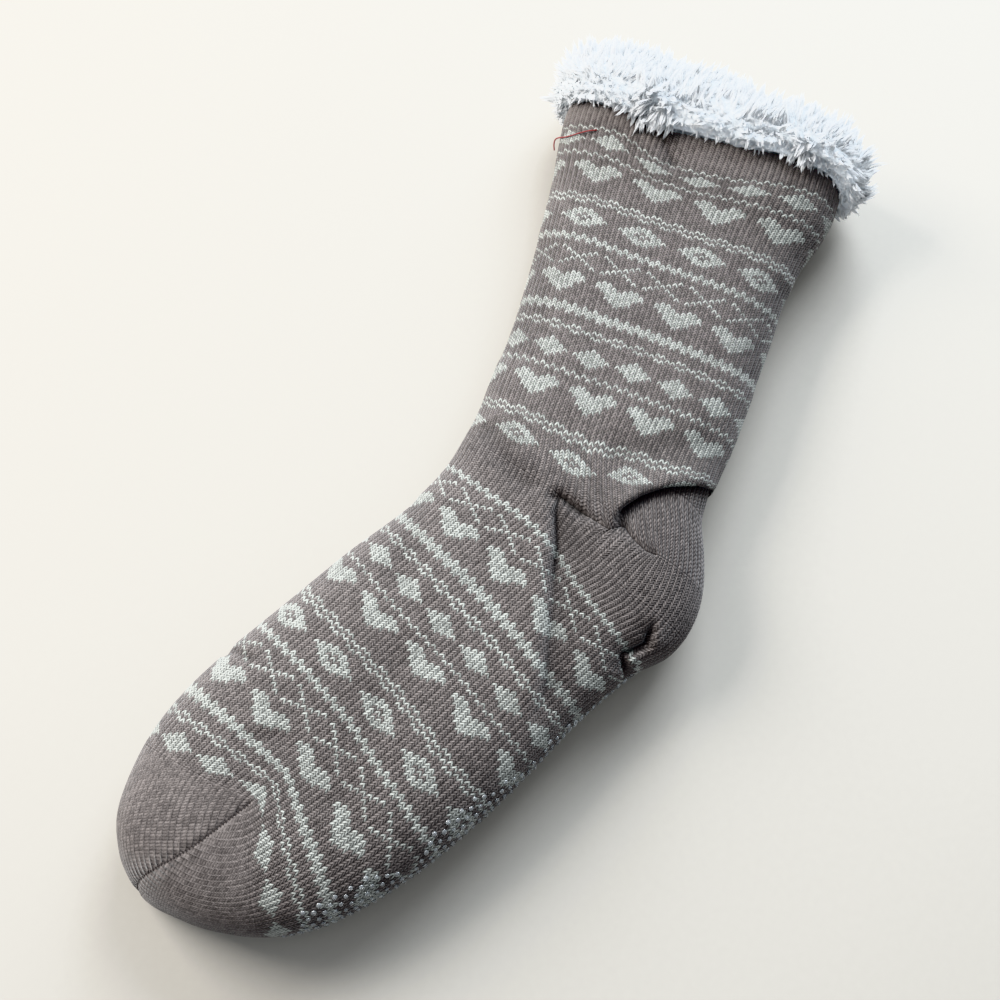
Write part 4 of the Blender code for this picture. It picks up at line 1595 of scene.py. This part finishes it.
@dataclass
class Collar:
    """The lining's top edge, turned out over the knit as a thick roll of pile.

    The profile is the roll's cross-section: the way onward past the knit's edge and the way out
    from it, in millimetres. Reach is how much farther it stands onward at the nine shares. Pile
    is combed away from the roll by stand, onward by pull and sideways by swirl, and at the wisps
    it hangs down over the knit.
    """

    surface: SockSurface
    around: int = 360
    along: int = 56
    fill: float = 1.0
    reach: Row = (1.5, 3.5, 4.5, 5.5, 4.0, -1.5, -1.0, -4.5, -5.5)
    curl: float = 0.55 * MM
    lump: float = 1.9 * MM
    inner_share: float = 0.8
    rim_rise: float = 3.0 * MM
    rim_least: float = 0.15
    profile: Table = (
        (0.0, -8.1), (-0.6, -1.0), (-1.2, 0.5), (-1.4, 2.2), (0.2, 4.6), (3.5, 6.9), (8.5, 7.8),
        (14.0, 7.0), (19.0, 4.6), (22.0, 0.5), (22.2, -4.0), (20.0, -8.6), (15.0, -10.9), (8.0, -11.0),
        (2.0, -10.2),
    )
    wisp_turns: Row = (0.30, 0.36, 0.785, 1.45)
    wisp_width: float = 0.035
    back_depth: float = 9.0 * MM
    hang: Pair = (0.35, 1.1)
    pull: float = 0.85
    wisp_pull: float = 0.8
    pull_chance: float = 0.35
    swirl: float = 0.75
    stand: float = 0.5
    edge_stand: float = 0.6
    edge_width: float = 0.15
    wisp_lie: float = 0.45
    length: float = 0.95
    back_loss: float = 0.45
    wisp_gain: float = 0.55
    length_chance: float = 0.3
    short_below: float = 12.0 * MM
    bare_below: float = 3.0 * MM
    lock_density: float = 400000.0
    lock_spacing: float = 3.3 * MM
    pieces: int = 4

    def ground(self, name: str) -> Object:
        """The roll's ground, with the vectors and sizes that the pile's tree reads.

        Args:
            name: The object's name.

        Returns:
            The ground.
        """
        roll = self._layout()
        comb, length = self._comb(roll)
        mesh = ring_mesh(name, roll.points)
        write_attribute(mesh, "thickness", self._thickness(roll))
        write_attribute(mesh, "length", length)
        write_attribute(mesh, "comb", comb.reshape(-1, 3))
        write_attribute(mesh, "away", roll.away.reshape(-1, 3))
        return link_piece(name, mesh)

    def _layout(self) -> Roll:
        """Lay the lumpy roll along the cuff's edge."""
        onward, _ = plan_axes(self.surface.leg_yaw)
        turns = np.linspace(0.0, 2.0, self.around, endpoint=False)
        shares = np.where(turns <= 1.0, turns, 2.0 - turns)
        stations = smooth_steps(np.interp(shares, SHARES, LEG_COURSES[0].stations), 8, closed=True)
        edge = self.surface.look_up(self.surface.points, stations, turns)
        way = np.roll(edge, -1, axis=0) - np.roll(edge, 1, axis=0)
        out = np.cross(way, onward)
        out /= np.linalg.norm(out, axis=1, keepdims=True)
        middle = edge.mean(axis=0)
        out *= np.sign(np.sum(out * (edge - middle), axis=1))[:, None]
        knots = np.array(self.profile) * MM
        closed = np.vstack([knots[-1], knots, knots[:2]])
        ring = through(closed, 1.0 + np.linspace(0.0, len(knots), self.along, endpoint=False))
        centre = ring.mean(axis=0)
        ring = centre + (ring - centre) * self.fill
        points = (edge[:, None, :] + ring[None, :, :1] * onward + ring[None, :, 1:] * out[:, None, :])
        reach = smooth_steps(np.interp(shares, SHARES, self.reach), 6, closed=True) * MM
        far = np.clip(ring[:, 0] / ring[:, 0].max(), 0.0, 1.0)
        points = points + (reach[:, None] * far[None, :])[..., None] * onward
        radial = ring - centre
        radial /= np.linalg.norm(radial, axis=1, keepdims=True)
        away = radial[None, :, :1] * onward + radial[None, :, 1:] * out[:, None, :]
        places = np.linspace(0, 1, self.along, endpoint=False)
        marks = np.stack(np.meshgrid(turns / 2.0, places, indexing="ij"), axis=-1)
        rim = np.clip(ring[:, 1] / self.rim_rise, self.rim_least, 1.0)
        free = np.where(ring[:, 1] < 0.0, self.inner_share, rim)
        lumps = rolling(marks, 5, low=0.0, high=14.0, waves=24) * self.lump * free[None, :]
        curls = rolling(marks, 6, low=10.0, high=60.0, waves=40) * self.curl * free[None, :]
        points = points + away * (lumps + curls)[..., None]
        points[..., 2] = np.maximum(points[..., 2], FLOOR_ROOM)
        return Roll(turns, ring, points, onward, out, away, marks)

    def _comb(self, roll: Roll) -> tuple[Points, Points]:
        """Which way the pile lies and how long it is, at each point of the ground.

        Args:
            roll: The ground.

        Returns:
            Comb vectors and lengths as shares of a lock's.
        """
        ring, turns, marks = roll.ring, roll.turns, roll.marks
        back = np.clip((self.back_depth - ring[:, 0]) / self.back_depth, 0.0, 1.0) * (ring[:, 1] > 0.0)
        wisps = sum(np.exp(-((turns - turn) / self.wisp_width) ** 2) for turn in self.wisp_turns)
        wisps = np.clip(wisps, 0.0, 1.0)[:, None]
        hang = back[None, :] * (self.hang[0] + self.hang[1] * wisps)
        beside = np.cross(roll.onward, roll.out)[:, None, :]
        swirl = beside * (self.swirl * rolling(marks, 21, low=0.0, high=20.0, waves=14))[..., None]
        pull = self.pull * (1.0 - back)[None, :] - hang - self.wisp_pull * hang * wisps
        pull = pull * (1.0 + self.pull_chance * rolling(marks, 22, low=0.0, high=16.0, waves=12))
        stand = self.stand + self.edge_stand * np.exp(-((turns - 1.0) / self.edge_width) ** 2)
        stand = stand[:, None] * (1.0 - self.wisp_lie * hang * wisps)
        comb = roll.away * stand[..., None] + roll.onward * pull[..., None] + swirl
        length = self.length - self.back_loss * back[None, :] + self.wisp_gain * hang * wisps
        length = length + self.length_chance * rolling(marks, 9, low=0.0, high=18.0, waves=14)
        height = roll.points[..., 2]
        short = np.minimum(length, height / self.short_below)
        return comb, np.where(height < self.short_below, short, length)

    def _thickness(self, roll: Roll) -> Points:
        """Where pile grows, 1 or 0: not by the floor, deep in the mouth or against the knit."""
        onward, outward = roll.ring[:, 0], roll.ring[:, 1]
        hidden = (outward < -9.5 * MM) * (onward < 2.0 * MM) + (onward < 0.2 * MM) * (outward < 0.2 * MM)
        return np.where((roll.points[..., 2] < self.bare_below) | hidden[None, :], 0.0, 1.0)

    def pile(self, tree: NodesTree, locks: Collection, finish: Material, seed: int) -> Object:
        """One piece of the pile.

        Args:
            tree: The tree that lays locks.
            locks: The kinds of lock.
            finish: Their finish.
            seed: The number that the piece's chance follows.

        Returns:
            The piece.
        """
        base = self.ground("pile_ground")
        piece = tree.run(base, f"sherpa_locks_{seed}", {
            "Locks": locks, "Density": self.lock_density, "Spacing": self.lock_spacing,
            "Seed": seed, "Finish": finish})
        for vertex in piece.data.vertices:
            vertex.co.z = max(FLOOR_ROOM, vertex.co.z)
        return piece


def ring_mesh(name: str, points: Points) -> Mesh:
    """A closed ring of closed cross-sections.

    Args:
        name: The mesh's name.
        points: Points as (round, along the cross-section, 3).

    Returns:
        The mesh, facing out.
    """
    rows, columns = points.shape[:2]
    index = np.arange(rows * columns).reshape(rows, columns)
    faces = []
    for row in range(rows):
        after = (row + 1) % rows
        for column in range(columns):
            beside = (column + 1) % columns
            corners = (row, column), (after, column), (after, beside), (row, beside)
            faces.append([int(index[corner]) for corner in corners])
    mesh = bpy.data.meshes.new(name)
    mesh.from_pydata(points.reshape(-1, 3).tolist(), [], faces)
    mesh.shade_smooth()
    face_out_check(mesh)
    return mesh


@dataclass
class Lining:
    """The fleece boot inside the knit: a wall with a lumpy inner face, closed at the toe."""

    surface: SockSurface
    knit: Knit
    fold_room: float = 3.0 * MM
    fold_reach: float = 13.0 * MM
    knit_wall: float = 2.3 * MM
    wall: float = 4.8 * MM
    around: int = 96
    rows: int = 90
    lump: float = 0.5 * MM
    lowest: float = 0.6 * MM
    first_station: float = CUFF_STATION - 0.02
    last_station: float = 0.35

    def build(self, material: Material) -> Object:
        """Make the lining.

        Args:
            material: Its finish.

        Returns:
            The piece.
        """
        turns = np.linspace(0.0, 2.0, self.around, endpoint=False)
        stations = np.linspace(self.first_station, self.last_station, self.rows)
        grid_s, grid_t = np.meshgrid(stations, turns, indexing="ij")
        base = self.surface.look_up(self.surface.points, grid_s, grid_t)
        out = self.surface.look_up(self.surface.ways_out, grid_s, grid_t)
        marks = np.stack([grid_t / 2.0, grid_s / CUFF_STATION], axis=-1)
        lumps = rolling(marks, 3, low=3.0, high=24.0, waves=20) * self.lump
        room = self._room(base, grid_s, grid_t)
        outer = base - out * (self.knit_wall + room)[..., None]
        inner = base - out * (self.knit_wall + self.wall + room * 0.5 + lumps)[..., None]
        ends = [skin[-1].mean(axis=0) for skin in (outer, inner)]
        count = self.rows * self.around
        vertices = np.vstack([outer.reshape(-1, 3), inner.reshape(-1, 3), np.array(ends)])
        vertices[:, 2] = np.maximum(vertices[:, 2], self.lowest)
        faces = []
        for column in range(self.around):
            after = (column + 1) % self.around
            for row in range(self.rows - 1):
                a, b = row * self.around + column, row * self.around + after
                faces.append((a, b, b + self.around, a + self.around))
                faces.append((count + b, count + a, count + a + self.around, count + b + self.around))
            faces.append((after, column, count + column, count + after))
            last = (self.rows - 1) * self.around
            faces.append((last + column, last + after, 2 * count))
            faces.append((count + last + after, count + last + column, 2 * count + 1))
        mesh = bpy.data.meshes.new("sherpa_boot")
        mesh.from_pydata(vertices.tolist(), [], faces)
        mesh.materials.append(material)
        mesh.shade_smooth()
        face_out_check(mesh)
        return link_piece("sherpa_boot", mesh)

    def _room(self, base: Points, stations: Points, turns: Points) -> Points:
        """How much deeper the wall lies under the knit's creases and its fold, in metres."""
        top = (turns < UPPER_FACE_END).ravel()
        drop = np.zeros(base.shape[:2])
        for crease in CREASES:
            share = self.knit.crease_drop(crease, base.reshape(-1, 3)[:, :2]) * top
            drop += np.maximum(0.0, share).reshape(drop.shape) * MM
        line = np.interp(turns, self.knit.turns, self.knit.fold_arcs, period=2.0)
        arcs = self.surface.look_up(self.surface.arcs[..., None], stations, turns)[..., 0]
        strength = np.vectorize(self.knit.fold.strength)(turns)
        return drop + self.fold_room * strength * np.exp(-((arcs - line) / self.fold_reach) ** 2)


@dataclass
class Details:
    """Gore threads, grip dots and the loose end of thread."""

    surface: SockSurface
    rung: float = 1.3 * MM
    rung_width: float = 0.38 * MM
    rung_height: float = 0.3 * MM
    rung_gap: float = 1.35 * MM
    rung_sunk: float = 0.75 * MM
    gore_sunk: float = 0.7 * MM
    gore_stations: Pair = (5.85, 0.4)
    gore_points: int = 60
    dot: float = 1.1 * MM
    dot_flat: float = 0.55
    dot_gap: float = 3.7 * MM
    dot_lift: float = 0.1 * MM
    dot_rows: Pair = (0.062, 0.232)
    dot_row_share: float = 0.87
    dot_steps: int = 8
    dot_sizes: Pair = (0.85, 1.1)
    dot_lowest: float = 0.2 * MM
    sole_half_girth: float = 118.0 * MM
    last_dot_turn: float = 1.3
    dot_edges: tuple[Row, ...] = (
        (4.6, 5.0, 6.2, 6.8, 7.3, 8.2, 8.8, 9.6, 10.2),
        (0.97, 0.86, 0.86, 0.95, 0.89, 0.89, 0.95, 0.93, 0.97),
    )
    thread_places: tuple[Triple, ...] = (
        (25.02, 0.015, 1.5), (25.2, 0.02, 2.2), (25.32, 0.03, 1.6), (25.22, 0.083, 0.5),
        (25.38, 0.148, 0.9), (25.5, 0.18, 0.2),
    )
    thread_radius: float = 0.28 * MM
    thread_points: int = 40
    thread_sides: int = 6

    def _bead(self, name: str, size: Triple) -> Object:
        """A small rounded part on the origin, hidden from the render."""
        mesh = bpy.data.meshes.new(name)
        shape = bmesh.new()
        bmesh.ops.create_uvsphere(shape, u_segments=8, v_segments=5, radius=1.0)
        bmesh.ops.scale(shape, vec=Vector(size), verts=shape.verts)
        shape.to_mesh(mesh)
        shape.free()
        mesh.shade_smooth()
        bead = link_piece(name, mesh)
        bead.hide_render = True
        return bead

    def _up(self, station: float, turn: float) -> Vector:
        """The unit vector off the surface at one place."""
        return (self.surface.point(station, turn, MM) - self.surface.point(station, turn)).normalized()

    def gores(self, tree: NodesTree, material: Material) -> Object:
        """The ladder of tight stitches along the toe's two gores.

        Args:
            tree: The tree that sets parts on points.
            material: Its finish.

        Returns:
            The piece.
        """
        stations = np.linspace(*self.gore_stations, self.gore_points)
        points, ups, ways = [], [], []
        for turn in (0.5, 1.5):
            line = [self.surface.point(station, turn, -self.gore_sunk) for station in stations]
            lengths = np.concatenate([[0.0], np.cumsum([(b - a).length for a, b in zip(line, line[1:])])])
            for mark in np.arange(0.0, lengths[-1], self.rung_gap):
                station = float(np.interp(mark, lengths, stations))
                ahead = self.surface.point(station - 0.05, turn)
                points.append(self.surface.point(station, turn, -self.rung_sunk))
                ups.append(self._up(station, turn))
                ways.append((ahead - self.surface.point(station, turn)).normalized())
        bead = self._bead("rung", (self.rung_width, self.rung, self.rung_height))
        base = point_base("gore_points", points, ups, ways, [1.0] * len(points))
        piece = tree.run(base, "gore_stitches", {"Part": bead, "Finish": material})
        bpy.data.objects.remove(bead, do_unlink=True)
        return piece

    def grips(self, tree: NodesTree, material: Material) -> Object:
        """Clear dots of silicone on the sole.

        Args:
            tree: The tree that sets parts on points.
            material: Its finish.

        Returns:
            The piece.
        """
        points, ups, ways, sizes = [], [], [], []
        chance = np.random.default_rng(12)
        rows = np.arange(*self.dot_rows, self.dot_gap * self.dot_row_share)
        arcs = self.surface.arc_column(1.0)
        for number, length in enumerate(rows):
            station = float(np.interp(length, arcs, self.surface.stations))
            edge = np.interp(station, *self.dot_edges)
            for step in range(-self.dot_steps, self.dot_steps + 1):
                along = (step + 0.5 * (number % 2)) * self.dot_gap
                turn = 1.0 + along / self.sole_half_girth
                if not edge < turn < self.last_dot_turn:
                    continue
                points.append(self.surface.point(station, turn, self.dot_lift))
                ups.append(self._up(station, turn))
                ways.append(Vector((1.0, 0.0, 0.0)))
                sizes.append(float(chance.uniform(*self.dot_sizes)))
        bead = self._bead("dot", (self.dot, self.dot, self.dot * self.dot_flat))
        base = point_base("dot_points", points, ups, ways, sizes)
        piece = tree.run(base, "grip_dots", {"Part": bead, "Finish": material})
        for vertex in piece.data.vertices:
            vertex.co.z = max(self.dot_lowest, vertex.co.z)
        bpy.data.objects.remove(bead, do_unlink=True)
        return piece

    def loose_thread(self, material: Material) -> Object:
        """A short end of dark red thread at the cuff.

        Args:
            material: Its finish.

        Returns:
            The piece.
        """
        knots = np.array([tuple(self.surface.point(station, turn, lift * MM))
                          for station, turn, lift in self.thread_places])
        path = through(knots, np.linspace(0.0, len(knots) - 1.0, self.thread_points))
        vertices, faces = tube(path, np.full(len(path), self.thread_radius), self.thread_sides)
        mesh = bpy.data.meshes.new("loose_thread")
        mesh.from_pydata([tuple(v) for v in vertices], [], faces)
        mesh.materials.append(material)
        mesh.shade_smooth()
        return link_piece("loose_thread", mesh)


@dataclass(frozen=True)
class Lamp:
    """A square soft light: its place along the picture's right and up and above the floor."""

    name: str
    right: float
    up: float
    height: float
    watts: float
    size: float
    colour: Triple


@dataclass
class Stage:
    """Floor, lights and camera."""

    lens: float = 50.4
    sensor: float = 36.0
    eye: Triple = (-0.1483, -0.1044, 0.5535)
    target: Triple = (-0.0028, 0.0013, 0.0)
    right: Triple = (0.588, -0.809, 0.0)
    up: Triple = (0.809, 0.588, 0.0)
    near: float = 0.01
    floor_reach: float = 3.0
    lamps: tuple[Lamp, ...] = (
        Lamp("key", -0.85, 0.5, 0.62, 34.0, 0.7, (1.0, 0.985, 0.96)),
        Lamp("fill", 0.45, 1.1, 0.62, 54.0, 0.9, (0.84, 0.92, 1.0)),
    )
    sky: str = "#dfe6ee"
    sky_strength: float = 0.82

    def build(self) -> None:
        """Make them all, and show colours as they are, with no film curve over the whites."""
        bpy.context.scene.view_settings.view_transform = "Khronos PBR Neutral"
        self._floor()
        self._lights()
        self._camera()

    def _floor(self) -> None:
        """A plain pale floor."""
        mesh = bpy.data.meshes.new("floor")
        reach = self.floor_reach
        mesh.from_pydata([(-reach, -reach, 0), (reach, -reach, 0), (reach, reach, 0), (-reach, reach, 0)],
                         [], [(0, 1, 2, 3)])
        mesh.materials.append(PlainFinish("pale_floor", "#a29d95", 0.8, 300.0, 0.05).build())
        link_piece("floor", mesh)

    def _lights(self) -> None:
        """A soft key from the picture's upper left, a cool fill from its upper right, and a pale sky."""
        for lamp in self.lamps:
            data = bpy.data.lights.new(lamp.name, "AREA")
            data.energy = lamp.watts
            data.size = lamp.size
            data.color = lamp.colour
            place = Vector(self.right) * lamp.right + Vector(self.up) * lamp.up
            place.z += lamp.height
            light = bpy.data.objects.new(lamp.name, data)
            light.location = place
            light.rotation_mode = "QUATERNION"
            light.rotation_quaternion = (-place).to_track_quat("-Z", "Y")
            bpy.context.scene.collection.objects.link(light)
        world = bpy.data.worlds.new("studio")
        bpy.context.scene.world = world
        world.use_nodes = True
        back = world.node_tree.nodes["Background"]
        back.inputs["Color"].default_value = linear(self.sky)
        back.inputs["Strength"].default_value = self.sky_strength

    def _camera(self) -> None:
        """The camera above the sock, with the picture's right and up."""
        data = bpy.data.cameras.new("camera")
        data.lens = self.lens
        data.sensor_width = self.sensor
        data.clip_start = self.near
        eye = Vector(self.eye)
        back = (eye - Vector(self.target)).normalized()
        right = Vector(self.right)
        right = (right - back * right.dot(back)).normalized()
        up = back.cross(right)
        turn = Matrix((right, up, back)).transposed()
        camera = bpy.data.objects.new("camera", data)
        camera.location = eye
        camera.rotation_mode = "QUATERNION"
        camera.rotation_quaternion = turn.to_quaternion()
        bpy.context.scene.collection.objects.link(camera)
        bpy.context.scene.camera = camera


def finish_piece(piece: Object, nodes: tuple[str, ...] = ()) -> None:
    """Ride a piece on the sock and the solids that it stands for, and report it.

    Args:
        piece: The piece.
        nodes: The solids that it replaces.
    """
    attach(piece, "root")
    if nodes:
        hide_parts(*nodes)
    triangles = sum(len(polygon.vertices) - 2 for polygon in piece.data.polygons)
    LOG.info("%s: %d triangles", piece.name, triangles)


def main() -> None:
    """Build every piece in order."""
    logging.basicConfig(level=logging.INFO, format="%(name)s %(message)s")
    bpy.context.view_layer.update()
    Stage().build()
    surface = SockSurface()
    knit = Knit(surface)
    yarn = KnitYarn().build()
    leg_tables = (knit.leg_rib, knit.leg_grain, knit.leg_painted_shading)
    leg = knit.build("knit_leg", knit.leg(), LEG_BANDS, leg_tables, yarn)
    finish_piece(leg, ("knit_sock",))
    foot_tables = (knit.foot_rib, knit.foot_grain, knit.foot_painted_shading)
    foot = knit.build("knit_foot", knit.foot(), FOOT_BANDS, foot_tables, yarn)
    finish_piece(foot, ("knit_sock",))
    ground = FleeceGround().build()
    finish_piece(Lining(surface, knit).build(ground), ("sherpa_lining",))
    collar = Collar(surface)
    roll = collar.ground("sherpa_roll")
    roll.data.materials.append(ground)
    finish_piece(roll, ("sherpa_collar",))
    pile = FleecePile().build()
    tree = pile_tree()
    locks = lock_collection()
    for seed in range(1, collar.pieces + 1):
        finish_piece(collar.pile(tree, locks, pile, seed), ("sherpa_collar",))
    for lock in list(locks.objects):
        bpy.data.objects.remove(lock, do_unlink=True)
    bpy.data.collections.remove(locks)
    details = Details(surface)
    rows = row_tree()
    thread = PlainFinish("tight_dark_yarn", "#2c2726", 0.95).build()
    finish_piece(details.gores(rows, thread))
    silicone = PlainFinish("clear_silicone", "#e4e8ea", 0.22, transmission=0.85, coat=0.5).build()
    finish_piece(details.grips(rows, silicone))
    red = PlainFinish("dark_red_thread", "#752c2c", 0.8).build()
    finish_piece(details.loose_thread(red))
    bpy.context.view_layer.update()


if __name__ == "__main__":
    main()
